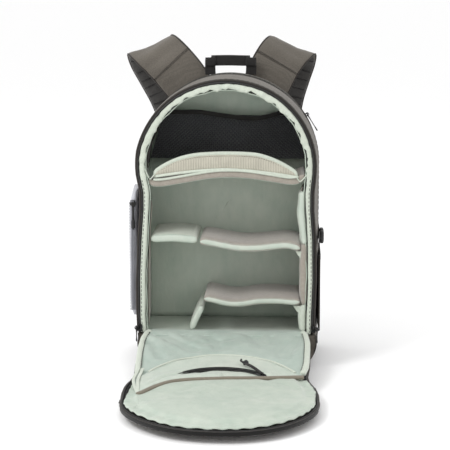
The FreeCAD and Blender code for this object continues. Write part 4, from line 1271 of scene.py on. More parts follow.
def lower_anchors():
    """Sewn tabs at the bottom corners that hold the strap webbing."""
    for name, sign in SIDES:
        outline = [(sign * x, z)
                   for x, z in ((0.1225, 0.024), (0.134, 0.026), (0.146, 0.031), (0.1445, 0.046),
                                (0.142, 0.061), (0.133, 0.0625), (0.1245, 0.061), (0.123, 0.043))][::sign]
        pillow("anchor_tab_" + name, outline, PANEL_BACK - 0.001, PANEL_BACK + 0.0032, "outer_fabric",
               "outer_fabric", BAG, ("lower_anchors",) if sign < 0 else (), amount=0.0002)
        box = [(sign * x, PANEL_BACK + 0.0034, z)
               for x, z in ((0.127, 0.034), (0.140, 0.038), (0.138, 0.056), (0.128, 0.055), (0.127, 0.034),
                            (0.138, 0.056))]
        piece("anchor_stitches_" + name, *stitches(box, (0, 1, 0), 0.0024, 0.0012, 0.0005), "webbing",
              "outer_fabric", BAG)
        path = smooth_path([(sign * 0.133, 0.0868, 0.050), (sign * 0.1325, 0.0885, 0.058),
                            (sign * 0.1325, 0.0925, 0.0665)], 6)
        strip("anchor_webbing_" + name, path, (0.0122, 0.0009, 14, 7), (0, 1, 0.2), "webbing", "webbing",
              BAG, ends=0.0008)


def grab_handle():
    """Webbing handle: a flat band up, across and down, its corners folded over like an envelope's."""
    b0, b1 = low("grab_handle"), high("grab_handle")
    y = (b0.y + b1.y) / 2
    half, top = b1.x - 0.001, b1.z
    band, thick = 0.0093, 0.0016
    foot = b0.z + 0.0005
    level = top - band - 0.0006
    leg = half - band
    cross = [(-leg + 0.002, y, level), (-leg * 0.5, y - 0.0003, level + 0.0004),
             (0, y - 0.0006, level + 0.0006), (leg * 0.5, y - 0.0002, level + 0.0002),
             (leg - 0.002, y, level)]
    strip("handle_band", smooth_path(cross, 6), (thick / 2 * 1.6, band, 16, 7), (0, 0, 1), "webbing",
          "webbing", "handle", ("grab_handle",), ends=0.0006)
    for name, sign in SIDES:
        path = smooth_path([(sign * leg, y + 0.0009, level + band * 0.55),
                            (sign * leg, y + 0.0006, level - 0.004),
                            (sign * (leg + 0.0006), y + 0.0002, (foot + level) / 2), (sign * leg, y, foot)],
                           6)
        strip("handle_leg_" + name, path, (band, thick / 2 * 1.4, 16, 7), (0, 1, 0), "webbing", "webbing",
              "handle", ends=0.0005)
        corner = [(sign * (leg - band), y - 0.0022, level + band),
                  (sign * (leg + band), y - 0.0020, level + band * 0.2),
                  (sign * (leg + band), y - 0.0022, level - band),
                  (sign * (leg - band), y - 0.0026, level - band * 0.85)]
        grid = []
        for i in range(9):
            u = i / 8
            row = []
            for k in range(9):
                v = k / 8
                a = Vector(corner[0]) * (1 - u) + Vector(corner[1]) * u
                b = Vector(corner[3]) * (1 - u) + Vector(corner[2]) * u
                p = a * (1 - v) + b * v
                p.y -= 0.0008 * math.sin(math.pi * u) * math.sin(math.pi * v)
                row.append(tuple(p))
            grid.append(row)
        piece("handle_fold_" + name, *sheet_solid(grid if sign > 0 else grid[::-1], 0.0011), "webbing",
              "webbing", "handle")
        line = [(sign * (leg - band * 0.75), y - 0.0030, level + band * 0.72),
                (sign * (leg + band * 0.7), y - 0.0028, level - band * 0.7)]
        piece("handle_stitches_" + name, *stitches(line, (0, -1, 0), 0.002, 0.0012, 0.0005), "thread",
              "webbing", "handle")


def side_pocket():
    """Grey zipped pocket that bulges from the left side."""
    b0, b1 = low("side_pocket"), high("side_pocket")
    base_x = b1.x
    middle_y, middle_z = (b0.y + b1.y) / 2, (b0.z + b1.z) / 2
    half_y, half_z = (b1.y - b0.y) / 2, (b1.z - b0.z) / 2
    rows = []
    for k in range(13):
        t = k / 12
        share = 1.0 if t < 0.05 else 1.0 - 0.97 * ((t - 0.05) / 0.95) ** 2.6
        depth = (1 - (1 - min(t / 0.40, 1.0)) ** 2.4) ** 0.55
        x = base_x - (base_x - b0.x - 0.0012) * depth
        row = []
        for y, z in super_section(half_y, half_z, 84, 9.0):
            row.append((x, middle_y + y * share, middle_z + z * share))
        rows.append(row)
    obj = piece("side_pocket_cover", *loft(rows), "pocket_grey", "pocket_grey", BAG, ("side_pocket",))
    z0, z1 = low("side_pocket_zip"), high("side_pocket_zip")
    rise = base_x - 0.003

    def press(p):
        return 1.0 if p.x < rise else 0.0

    rumple(obj, 0.0020, 0.05, 2, press)
    rumple(obj, 0.0008, 0.014, 4, press)
    for vertex in obj.data.vertices:
        p = vertex.co
        slim = float(np.interp(p.y, (-0.062, -0.056, -0.045, -0.030, -0.010, 0.020, 0.040),
                               (-0.1645, -0.1665, -0.1680, -0.1695, -0.1710, -0.1730, -0.1740)))
        near_end = max(p.z - (b1.z - 0.034), (b0.z + 0.034) - p.z, 0.0) / 0.034
        p.x = max(p.x, slim + 0.0065 * near_end ** 2.2)
        p.y = max(p.y, b0.y + 0.0002)
    path = [(base_x - 0.0008, middle_y + y, middle_z + z)
            for y, z in super_section(half_y - 0.0010, half_z + 0.0002, 120, 9.0)]
    strip("side_pocket_piping", path, (0.0014, 0.0014, 8), (-1, 0, 0), "pocket_edge", "pocket_grey", BAG,
          loop=True)
    x, y = (z0.x + z1.x) / 2 - 0.0005, b0.y - 0.0004
    strip("side_pocket_tape", even_path([(x, y, z0.z + 0.004), (x, y, z1.z - 0.004)], 0.006),
          (0.0042, 0.0006, 10, 5), (0, -1, 0), "pocket_tape", "zip_tape", BAG, ("side_pocket_zip",),
          ends=0.0005)
    for name, dx in (("outer", -0.0012), ("inner", 0.0012)):
        line = even_path([(x + dx, y - 0.0006, z0.z + 0.005), (x + dx, y - 0.0006, z1.z - 0.005)],
                         COIL_STEP)
        coil("side_pocket_coil_" + name, line, 0.0011, 0.0009, (0, -1, 0), BAG, "pocket_edge")
    line = [(x - 0.0056, y + 0.0008, z) for z in np.linspace(z0.z + 0.004, z1.z - 0.004, 40)]
    piece("side_pocket_stitches", *stitches(line, (0, -1, 0), 0.003, 0.002, 0.0005), "pocket_edge",
          "pocket_grey", BAG)


def bottle_pocket():
    """Stretch net pocket low on the right side, and the compression webbing above it."""
    b0, b1 = low("bottle_pocket"), high("bottle_pocket")
    x = b1.x
    corners = [(x - 0.0006, b0.y + 0.002, b0.z + 0.003), (x - 0.0006, b1.y - 0.002, b0.z + 0.003),
               (x + 0.0002, b1.y - 0.004, b1.z - 0.005), (x + 0.0002, b0.y + 0.004, b1.z - 0.005)]
    a, b, c, d = (np.array(p) for p in corners)
    grid = []
    for i in range(30):
        u = i / 29
        row = []
        for k in range(30):
            v = k / 29
            p = (a * (1 - u) + b * u) * (1 - v) + (d * (1 - u) + c * u) * v
            p[0] += 0.0006 * math.sin(math.pi * u) + 0.0004 * noisy(u * 8, v * 8, 2)
            row.append(tuple(p))
        grid.append(row)
    piece("bottle_pocket_panel", *sheet_solid(grid, 0.0009), "outer_dark", "mesh", BAG, ("bottle_pocket",))
    top = smooth_path([(HALF + 0.001, b0.y + 0.001, b1.z - 0.004), (x + 0.0006, b0.y + 0.006, b1.z - 0.004),
                       (x + 0.0012, 0.0, b1.z - 0.0065), (x + 0.0006, b1.y - 0.006, b1.z - 0.004),
                       (HALF + 0.001, b1.y - 0.001, b1.z - 0.004)], 8)
    strip("bottle_pocket_elastic", top, (0.0010, 0.0052, 12, 4), (0, 0, 1), "webbing", "webbing", BAG,
          ends=0.001)
    for name, line in (
        ("front", [(x - 0.0004, b0.y, b0.z + 0.002), (x - 0.0004, b0.y, b1.z - 0.004)]),
        ("rear", [(x - 0.0004, b1.y, b0.z + 0.002), (x - 0.0004, b1.y, b1.z - 0.004)]),
        ("low", [(x - 0.0004, b0.y, b0.z + 0.001), (x - 0.0004, b1.y, b0.z + 0.001)]),
    ):
        tube("bottle_pocket_edge_" + name, even_path(line, 0.005), 0.0018, "outer_dark", "outer_fabric",
             BAG, (1, 0, 0), 8)
    w0, w1 = low("compression_strap"), high("compression_strap")
    z = (w0.z + w1.z) / 2
    for name, y0, y1 in (("front", w0.y, low("buckle_plug").y + 0.004),
                         ("rear", high("buckle_socket").y - 0.004, w1.y)):
        path = smooth_path([(HALF + 0.0012, y0, z), (HALF + 0.0020, y0 * 0.75 + y1 * 0.25, z + 0.0003),
                            (HALF + 0.0024, y1, z)] if name == "front" else
                           [(HALF + 0.0024, y0, z), (HALF + 0.0020, y0 * 0.25 + y1 * 0.75, z - 0.0003),
                            (HALF + 0.0012, y1, z)], 6)
        strip("compression_webbing_" + name, path, (0.0009, (w1.z - w0.z) / 2 - 0.0002, 14, 7), (0, 0, 1),
              "webbing", "webbing", BAG, ("compression_strap",) if name == "front" else (), ends=0.0006)


def buckle():
    """Side-release buckle: a socket with open sides and a plug with two sprung prongs."""
    s0, s1 = low("buckle_socket"), high("buckle_socket")
    plug_front = low("buckle_plug").y
    x, z = (s0.x + s1.x) / 2, (s0.z + s1.z) / 2
    half_x = (s1.x - s0.x) / 2
    rows = []
    for t in np.linspace(0, 1, 14):
        y = s0.y + (s1.y - s0.y) * t
        end = 1 - 0.22 * t - 0.10 * (1 - t) ** 4
        waist_in = 1 - 0.14 * math.exp(-((t - 0.25) / 0.16) ** 2)
        rows.append([(x + u * (0.9 + 0.1 * (1 - t)), y, z + v * end * waist_in)
                     for u, v in super_section(half_x, (s1.z - s0.z) / 2, 22, 4)])
    piece("buckle_socket_shell", *loft(rows), "moulding", "moulding", BAG, ("buckle_socket",))
    rows = []
    for t in np.linspace(0, 1, 10):
        y = plug_front + (s0.y - 0.0004 - plug_front) * t
        rows.append([(x + u, y, z + v * (0.82 + 0.18 * math.sin(math.pi * min(t * 1.2, 1))))
                     for u, v in super_section(half_x * 0.92, (s1.z - s0.z) / 2 * 0.9, 22, 4)])
    piece("buckle_plug_body", *loft(rows), "moulding", "moulding", "buckle_plug", ("buckle_plug",))


# ------------------------------------------------------------------ the front panel


def droop(x, s):
    """How far the soft dome sinks towards the ground round its rim."""
    from_middle = math.hypot(x, max(s - DOME_S, 0.0))
    share = clamp((from_middle - 0.075) / 0.080)
    return 0.0046 * share * share * clamp((s - 0.215) / 0.055)


def panel_point(x, s, rise=0.0):
    """A point of the panel: x across, s from the hinge towards the dome's tip, rise above its inner face."""
    if s <= FOLD_S:
        p = HINGE + DOWN * s + RISE * rise
    else:
        p = FOLD + Vector((0, -1, 0)) * (s - FOLD_S) + Vector((0, 0, 1)) * (rise - droop(x, s))
    return (x, p.y, p.z)


def dome_reach(x, s):
    """The soft dome's radius in the direction of a point: a little fuller to the right of its tip."""
    angle = math.degrees(math.atan2(s - DOME_S, x))
    fuller = 0.009 * math.exp(-((angle - 66) / 38) ** 2) + 0.003 * math.exp(-((angle - 112) / 16) ** 2)
    return HALF - 0.001 + fuller - 0.0026 * math.exp(-((angle % 360 - 182) / 28) ** 2)


def dome_tip(x):
    """How far the dome reaches at x across."""
    low_s, high_s = DOME_S, DOME_S + HALF + 0.02
    for _ in range(30):
        middle = (low_s + high_s) / 2
        if math.hypot(x, middle - DOME_S) < dome_reach(x, middle):
            low_s = middle
        else:
            high_s = middle
    return low_s


def side_reach(s, side):
    """Half width of the panel beside its straight part, softened."""
    table = ((0.0, 0.1380, 0.1360), (0.010, 0.1400, 0.1385), (0.035, 0.1445, 0.1412),
             (0.070, 0.1448, 0.1418), (0.127, 0.1436, 0.1402), (0.158, 0.1420, 0.1372),
             (0.172, 0.1440, 0.1385), (0.195, 0.1492, 0.1440), (0.220, 0.1520, 0.1500),
             (0.245, 0.1530, 0.1535), (0.277, 0.1515, 0.1540))
    return float(np.interp(s, [t[0] for t in table], [t[1 if side < 0 else 2] for t in table]))


def edge_gap(x, s):
    """Distance from the panel's outer edge."""
    if s < DOME_S:
        return side_reach(s, -1 if x < 0 else 1) - abs(x)
    return dome_reach(x, s) - math.hypot(x, s - DOME_S)


def panel_outline(s0, inset, step=0.005):
    """The panel's edge as (x, s) points: up the left from the hinge, round the dome, back down the right."""
    left = [(-side_reach(s, -1) + inset, s) for s in np.arange(s0, DOME_S, step)]
    right = [(side_reach(s, 1) - inset, s) for s in np.arange(s0, DOME_S, step)]
    dome = []
    count = int(math.pi * HALF / step)
    for i in range(count + 1):
        a = math.pi - math.pi * i / count
        reach = dome_reach(math.cos(a), DOME_S + math.sin(a)) - inset
        dome.append((math.cos(a) * reach, DOME_S + math.sin(a) * reach))
    return left + dome + right[::-1]


# The dome's lower seam as (x, s) points
SEAM = [(-0.150, 0.300), (-0.124, 0.284), (-0.098, 0.243), (-0.077, 0.218), (-0.040, 0.203), (0.009, 0.195),
        (0.060, 0.192), (0.100, 0.187), (0.122, 0.184), (0.150, 0.180)]
SEAM_CURVE = smooth_path(SEAM, 8)


def seam_s(x):
    """Where the dome's lower seam runs, as a distance from the hinge."""
    return float(np.interp(x, SEAM_CURVE[:, 0], SEAM_CURVE[:, 1]))


# The crescent pocket's edge and its zip are arcs: radius, and distance of the arc's middle from the hinge
POCKET_RADIUS, POCKET_MIDDLE = 0.137, 0.230
ZIP_RADIUS, ZIP_MIDDLE = 0.1180, 0.270
# The zip lies on a slope: how far before the zip it starts, how long it is, its lip's height and its drop
SLOPE_START, SLOPE_RUN, SLOPE_LIP, SLOPE_DROP = 0.0065, 0.011, 0.0042, 0.0056
# Left of here the dome's seam is free, and its lining carries on up beside the lower panel
SEAM_FREE_END = -0.118
ROLL_END = 0.161
# The sage edge rolls, left and right: distance from the middle, distance from the hinge
ROLL_PATHS = {
    -1: smooth_path([(0.1325, 0.0015), (0.1350, 0.006), (0.1395, 0.035), (0.1400, 0.071), (0.1390, 0.110),
                     (0.1365, ROLL_END)], 8),
    1: smooth_path([(0.1305, 0.0015), (0.1332, 0.008), (0.1365, 0.035), (0.1370, 0.064), (0.1350, 0.127),
                    (0.1300, 0.160)], 8),
}


def roll_x(s, side):
    """Distance from the middle of the sage edge roll at a distance from the hinge."""
    line = ROLL_PATHS[side]
    return float(np.interp(s, line[:, 1], line[:, 0]))


def arc_s(x, radius, middle):
    """The pocket zip's or pocket edge's arc, as the CAD has it."""
    return middle - math.sqrt(max(radius * radius - x * x, 0.0))


def crease(x, s, x0, s0, x1, s1, width):
    """1 on a line, falling to 0 at its sides."""
    a, b, p = Vector((x0, s0)), Vector((x1, s1)), Vector((x, s))
    t = clamp((p - a).dot(b - a) / (b - a).length_squared)
    away = (p - a - (b - a) * t).length / width
    return math.exp(-away * away), math.exp(-((away - 1.7) / 0.9) ** 2)


# Folds pressed into the lower panel's lining: from (x, s) to (x, s), width and depth
VALLEYS = [
    (-0.112, 0.014, -0.052, 0.072, 0.010, 0.0050), (-0.030, 0.017, -0.010, 0.068, 0.009, 0.0028),
    (0.124, 0.012, 0.098, 0.096, 0.010, 0.0046), (0.046, 0.008, 0.060, 0.056, 0.012, 0.0020),
    (-0.126, 0.042, -0.104, 0.108, 0.008, 0.0028), (0.012, 0.028, -0.036, 0.050, 0.008, 0.0016),
    (-0.075, 0.010, -0.060, 0.036, 0.008, 0.0018), (0.080, 0.012, 0.074, 0.044, 0.007, 0.0016),
]


def lower_relief(x, s):
    """Height of the loose lining over the lower panel's foam."""
    height = 0.0022
    for x0, s0, x1, s1, width, depth in VALLEYS:
        on, beside = crease(x, s, x0, s0, x1, s1, width)
        height += depth * (0.38 * beside - on)
    height += 0.0036 * noisy(x * 15, s * 17, 4.0) + 0.0012 * noisy(x * 45, s * 45, 7.0)
    pocket = arc_s(x, POCKET_RADIUS, POCKET_MIDDLE) if abs(x) < 0.13 else 0.2
    if s > pocket:
        height = height * 0.55 + 0.0020 * min((s - pocket) / 0.006, 1.0)
    elif s > pocket - 0.010:
        height -= 0.0022 * (1 - (pocket - s) / 0.010)
    if abs(x) < ZIP_RADIUS:
        fade = math.sin(min(1.0, (ZIP_RADIUS - abs(x)) / 0.030) * math.pi / 2)
        past = s - arc_s(x, ZIP_RADIUS, ZIP_MIDDLE)
        if past < -SLOPE_START:
            height += SLOPE_LIP * fade * math.exp(-((past + SLOPE_START) / 0.013) ** 2)
        else:
            height += fade * (SLOPE_LIP - SLOPE_DROP * eased(min((past + SLOPE_START) / SLOPE_RUN, 1.0)))
        if past > 0.0045:
            band = seam_s(x) - arc_s(x, ZIP_RADIUS, ZIP_MIDDLE) - 0.0045
            along_band = min((past - 0.0045) / max(band, 0.01), 1.0)
            height += 0.0038 * math.sin(math.pi * along_band) * fade
    return 0.0090 * math.tanh(height / 0.0090)


def zip_slope(x, across=0.0):
    """A point on the pocket zip's slope, and the way it faces, across metres towards the dome."""
    s = arc_s(x, ZIP_RADIUS, ZIP_MIDDLE)
    down = clamp((across + SLOPE_START) / SLOPE_RUN)
    return panel_point(x, s + across, 0.0035 + SLOPE_LIP - SLOPE_DROP * eased(down))


def lower_lining():
    """Loose sage lining of the lower panel, from the hinge to the dome's seam."""
    columns, rows_count = 104, 76
    grid = []
    for j in range(rows_count):
        v = j / (rows_count - 1)
        row = []
        for i in range(columns):
            u = -1 + 2 * i / (columns - 1)
            side = -1 if u < 0 else 1
            x = u * 0.140
            for _ in range(2):
                s = -0.003 + (seam_s(x) + 0.003) * v
                limit = roll_x(s, side) - 0.002
                if s > ROLL_END and side < 0:
                    limit = float(np.interp(s, (ROLL_END, 0.200, 0.250, 0.284),
                                            (0.1350, 0.1375, 0.1310, 0.1245)))
                elif s > ROLL_END:
                    limit = 0.1290
                x = u * limit
            edge = min(1.0, (1 - abs(u)) * limit / 0.010)
            near_hinge = clamp((s + 0.003) / 0.014)
            near_seam = clamp((seam_s(x) - s) / 0.012)
            flat_below = clamp((s - 0.085) / 0.05)
            height = lower_relief(x, s) * (0.35 + 0.65 * math.sin(edge * math.pi / 2))
            held = 0.30 + 0.70 * math.sin(near_hinge * math.pi / 2)
            height *= held * (0.30 + 0.70 * math.sin(near_seam * math.pi / 2))
            height -= 0.0012 * flat_below
            if side < 0 and s > ROLL_END:
                height += 0.0035 * min((s - ROLL_END) / 0.02, 1.0)
            height = max(height, 0.0004)
            row.append(panel_point(x, s, height))
        grid.append(row)
    obj = piece("lower_panel_lining", *sheet_solid(grid[::-1], 0.0014), ("lining_deep", "lining_pale"),
                "lining", None, ("panel_lower_foam", "panel_lower_fabric", "inner_pocket"))
    # Faces from the hinge to the pocket's edge take the darker sage as painted shade; the pocket takes the
    # pale sage.
    for face in obj.data.polygons:
        x = face.center.x
        s = (HINGE.y - face.center.y) / abs(DOWN.y)
        face.material_index = int(abs(x) < 0.131 and s > arc_s(x, POCKET_RADIUS, POCKET_MIDDLE))
    return across_fold(obj)


def across_fold(obj):
    """Bakes a piece's placing into its mesh, for a piece on the fold between the lower panel and the dome."""
    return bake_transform(obj)


def across_hinge(obj):
    """Bakes a piece's placing into its mesh, for a piece where the panel leaves the bag's floor."""
    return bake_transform(obj)


def hinge_hem():
    """The floor's edge, folded over the hinge onto the panel, with its row of stitches."""
    grid = []
    for i in range(60):
        u = i / 59
        x = -0.131 + 0.262 * u
        row = []
        for k in range(12):
            v = k / 11
            wave = 0.0006 * noisy(x * 34, v * 2, 3)
            if v < 0.5:
                row.append((x, FRONT + 0.006 - (FRONT + 0.006 - HINGE.y) * v * 2, HINGE.z + 0.0026 + wave))
            else:
                row.append(panel_point(x, (v - 0.5) * 2 * 0.016, 0.0028 - 0.0012 * (v - 0.5) * 2 + wave))
        grid.append(row)
    # The hem is in the darker sage, as painted shade.
    across_hinge(piece("hinge_hem", *sheet_solid(grid, 0.0014), "lining_deep", "lining"))
    line = [panel_point(x, 0.0065, 0.0030) for x in np.linspace(-0.122, 0.120, 60)]
    piece("hinge_stitches", *stitches(line, (0, 0, 1), 0.0030, 0.0024, 0.0004), "pale_thread", "lining",
          LOWER)


def edge_rolls():
    """Padded sage rolls down both sides of the lower panel, stitched on their inner side."""
    for name, side in SIDES:
        line = even_path(ROLL_PATHS[side], 0.004)
        path = [panel_point(side * x, s, 0.0022 + 0.0006 * noisy(s * 40, side, 1)) for x, s in line]
        scale = [1 + 0.10 * noisy(s * 55, side * 3, 6) for x, s in line]
        obj = strip("edge_roll_" + name, path, (0.0052, 0.0046, 16, 2.3), tuple(RISE), "binding", "lining",
                    LOWER, scale=scale, ends=0.004)
        seam = [panel_point(side * (x - 0.0046), s, 0.0044) for x, s in line[2:-1]]
        piece("edge_roll_stitches_" + name, *stitches(seam, (0, 0, 1), 0.0042, 0.0036, 0.0009), "thread",
              "lining", LOWER)
    for number, shift in ((1, 0.0), (2, 0.007)):
        run = smooth_path([(-0.1355 + shift, 0.158, 0.0070), (-0.1375 + shift, 0.185, 0.0076),
                           (-0.1375 + shift, 0.220, 0.0078), (-0.1310 + shift * 0.6, 0.256, 0.0076),
                           (-0.1250, 0.280, 0.0066)], 8)
        across_fold(strip(f"edge_ribbon_{number}", [panel_point(*p) for p in run], (0.0026, 0.0007, 10, 4),
                          (0, 0.2, 1), "binding", "lining", ends=0.001))


def pocket_edge():
    """Hem of the crescent pocket, with its stitches, and the zip in its groove."""
    hem = [(x, arc_s(x, POCKET_RADIUS, POCKET_MIDDLE)) for x in np.linspace(-0.128, 0.126, 110)]
    path = even_path([panel_point(x, s, lower_relief(x, s + 0.005) + 0.0004) for x, s in hem if s < 0.162],
                     0.004)
    strip("pocket_hem", path, (0.0022, 0.0011, 10), tuple(RISE), "binding", "lining", LOWER, ends=0.001)
    inner = [(x * 0.965, s + 0.0048) for x, s in hem if s < 0.155]
    line = [panel_point(x, s, lower_relief(x, s) + 0.0004) for x, s in inner]
    piece("pocket_stitches", *stitches(line, (0, 0, 1), 0.0028, 0.0022, 0.00035), "pale_thread", "lining",
          LOWER)
    lead = np.linspace(-0.0830, 0.0720, 90)
    groove = [zip_slope(x) for x in lead]
    taper = [0.25 + 0.75 * math.sin(min(1.0, min(0.0720 - x, x + 0.0830) / 0.035) * math.pi / 2)
             for x in lead]
    strip("inner_zip_tape", groove, (0.0044, 0.0006, 10, 5), tuple(ZIP_FACE), "zip_tape", "zip_tape", LOWER,
          ("inner_pocket_zip",), scale=taper)
    for name, across in (("near", -0.0012), ("far", 0.0012)):
        line = [Vector(zip_slope(x, across)) + ZIP_FACE * 0.0010 for x in np.linspace(-0.080, 0.070, 200)]
        coil("inner_zip_coil_" + name, even_path([tuple(p) for p in line], COIL_STEP), 0.0012, 0.0010,
             tuple(ZIP_FACE), LOWER)


def dome_start(x):
    """Where the dome's lining starts. Left of the seam's free end it carries on up beside the lower panel."""
    if x > SEAM_FREE_END:
        return seam_s(x) + 0.001
    share = min((SEAM_FREE_END - x) / 0.006, 1.0)
    return (seam_s(x) + 0.001) * (1 - share) + 0.168 * share


def dome_rise(x, s):
    """Height of the dome's loose lining above the panel's inner face."""
    gap = edge_gap(x, s)
    angle = math.atan2(s - DOME_S, x)
    walk = angle * HALF if s > DOME_S else (DOME_S - s) + (0 if x > 0 else 0.6)
    scallop = 0.5 + 0.5 * math.sin(walk * 2 * math.pi / 0.024 + 3.0 * noisy(walk * 14, 1, 1))
    edge = clamp((gap - 0.004) / 0.018)
    from_seam = clamp((s - dome_start(x)) / 0.022)
    gathers = 0.5 + 0.5 * math.sin(x * 2 * math.pi / 0.027 + 2 * noisy(x * 20, 4, 1))
    under = 1.0 if x > SEAM_FREE_END else clamp((s - 0.262) / 0.03)
    swell = 0.0050 * math.sin(edge * math.pi / 2) * math.sin((0.1 + 0.9 * from_seam) * math.pi / 2)
    rise = 0.0024 + swell * (0.3 + 0.7 * under)
    rise += 0.0042 * (scallop - 0.4) * math.exp(-((gap - 0.018) / 0.011) ** 2) * from_seam
    rise += 0.0018 * gathers * math.exp(-((s - seam_s(x) - 0.020) / 0.009) ** 2) * under
    wrinkle = noisy(x * 17, s * 11, 2) + 0.5 * noisy(x * 42 + s * 15, s * 25, 5)
    rise += (0.0034 * wrinkle + 0.0036 * noisy(x * 8, s * 7, 9)) * min(edge, from_seam)
    rise -= 0.0052 * (1 - min(gap / 0.016, 1.0)) ** 1.5 if s > FOLD_S + 0.010 else 0.0
    for x0, s0, x1, s1, width, depth in (
        (-0.120, 0.330, -0.030, 0.235, 0.010, 0.0028), (0.110, 0.360, 0.030, 0.260, 0.011, 0.0026),
        (-0.010, 0.420, 0.010, 0.330, 0.009, 0.0020), (0.070, 0.190, 0.120, 0.250, 0.009, 0.0024),
    ):
        on, beside = crease(x, s, x0, s0, x1, s1, width)
        rise += depth * (0.4 * beside - on) * edge
    most = 0.0060 - 0.0022 * math.exp(-((s - 0.285) / 0.035) ** 4)
    rise = most * math.tanh(rise / most)
    inside = clamp((gap - 0.019) / 0.014)
    rise = min(rise, droop(x, s) - 0.0012 + 0.0075 * eased(inside))
    return rise - 0.0017 * (1 - scallop) * math.exp(-((gap - 0.013) / 0.009) ** 2) * from_seam


def dome_lining():
    """Loose satin lining of the dome, gathered at its seam and scalloped round its rim."""
    columns, count = 118, 84
    grid = []
    for i in range(columns):
        u = -1 + 2 * i / (columns - 1)
        half = HALF - (0.0125 if u < 0 else 0.0075)
        x = math.sin(u * math.pi / 2) * half
        start = min(dome_start(x), DOME_S + 0.004)
        far = dome_tip(x * HALF / (HALF - 0.0045)) - 0.0045 if abs(x) < HALF - 0.008 else DOME_S + 0.012
        far = max(far, start + 0.010)
        row = []
        for k in range(count):
            t = k / (count - 1)
            t -= 0.10 * math.sin(2 * math.pi * t) / math.pi
            s = start + (far - start) * t
            xx = x
            if s < DOME_S:
                reach = side_reach(s, -1 if x < 0 else 1) - (0.0115 if x < 0 else 0.0050)
                blend_in = min((DOME_S - s) / 0.03, 1.0)
                xx = x * (1 - blend_in) + x / half * reach * blend_in
            row.append(panel_point(xx, s, dome_rise(xx, s)))
        grid.append(row)
    obj = piece("dome_lining", *sheet_solid(grid, 0.0012), "lining", "lining", None,
                ("panel_lining", "panel_foam"))
    return across_fold(obj)


def dome_seam():
    """Taupe piping where the dome's lining starts."""
    xs = np.linspace(-0.124, 0.130, 120)
    path = [panel_point(x, seam_s(x) - 0.001, 0.0050 + 0.0006 * noisy(x * 26, 2, 2)) for x in xs]
    across_fold(strip("dome_seam_piping", even_path(path, 0.004), (0.0046, 0.0034, 12), (0, 0, 1),
                      "seam_brown", "outer_fabric", ends=0.0015))


def panel_shell():
    """Outer cloth of the whole panel, turned up round its edge, with edging, zip tape and coil on the rim,
    and a black band round the dome's far rim as painted shade.
    """
    columns, count = 90, 90
    grid = []
    for i in range(columns):
        u = -1 + 2 * i / (columns - 1)
        x = math.sin(u * math.pi / 2) * (HALF - 0.0012)
        far = dome_tip(x) if abs(x) < HALF - 0.002 else DOME_S + 0.010
        row = []
        for k in range(count):
            t = 1 - (1 - k / (count - 1)) ** 1.6
            s = 0.002 + (far - 0.002) * t
            xx = x / (HALF - 0.0012) * side_reach(s, -1 if x < 0 else 1) if s < DOME_S else x
            gap = max(edge_gap(xx, s), 0.0)
            turn = max(0.0, 1 - gap / 0.007)
            rise = -0.0098 + 0.0046 * turn ** 2.2
            drift = 0.0006 * noisy(xx * 30, s * 30, 8)
            row.append(panel_point(xx, s, rise + drift))
        grid.append(row)
    obj = piece("panel_outer_shell", *sheet_solid(grid[::-1], 0.0015), "outer_fabric", "outer_fabric", None,
                ("panel_fabric",))
    across_fold(obj)
    for name, inset, rise, radius, flat, material, slot, nodes in (
        ("rim_edging_panel", 0.0012, -0.0054, 0.0024, 1.0, "outer_dark", "outer_fabric", ()),
        ("rim_tape_panel", 0.0042, -0.0046, 0.0034, 0.30, "zip_tape", "zip_tape",
         ("panel_zip", "panel_lower_zip")),
    ):
        line = even_path([panel_point(x, s, rise) for x, s in panel_outline(0.004, inset)], 0.004)
        across_fold(strip(name, line, (radius, radius * flat, 12, 2.4), (0, 0, 1), material, slot, None,
                          nodes, ends=0.001))
    line = even_path([panel_point(x, s, -0.0030) for x, s in panel_outline(0.004, 0.0036)], COIL_STEP)
    across_fold(coil("rim_coil_panel", line, 0.0014, 0.0013, (0, 0, 1), None))
    # Painted shade: a black band round the far part of the dome's rim, where the rim lies in shadow near the
    # floor.
    dome = [(x, s) for x, s in panel_outline(FOLD_S + 0.030, -0.0005) if s > DOME_S + 0.035]
    line = even_path([panel_point(x, s, -0.0065) for x, s in dome], 0.004)
    strip("rim_shade_band_dome", line, (0.0009, 0.0032, 12, 4), (0, 0, 1), "zip_tape", "zip_tape", UPPER,
          ends=0.001)


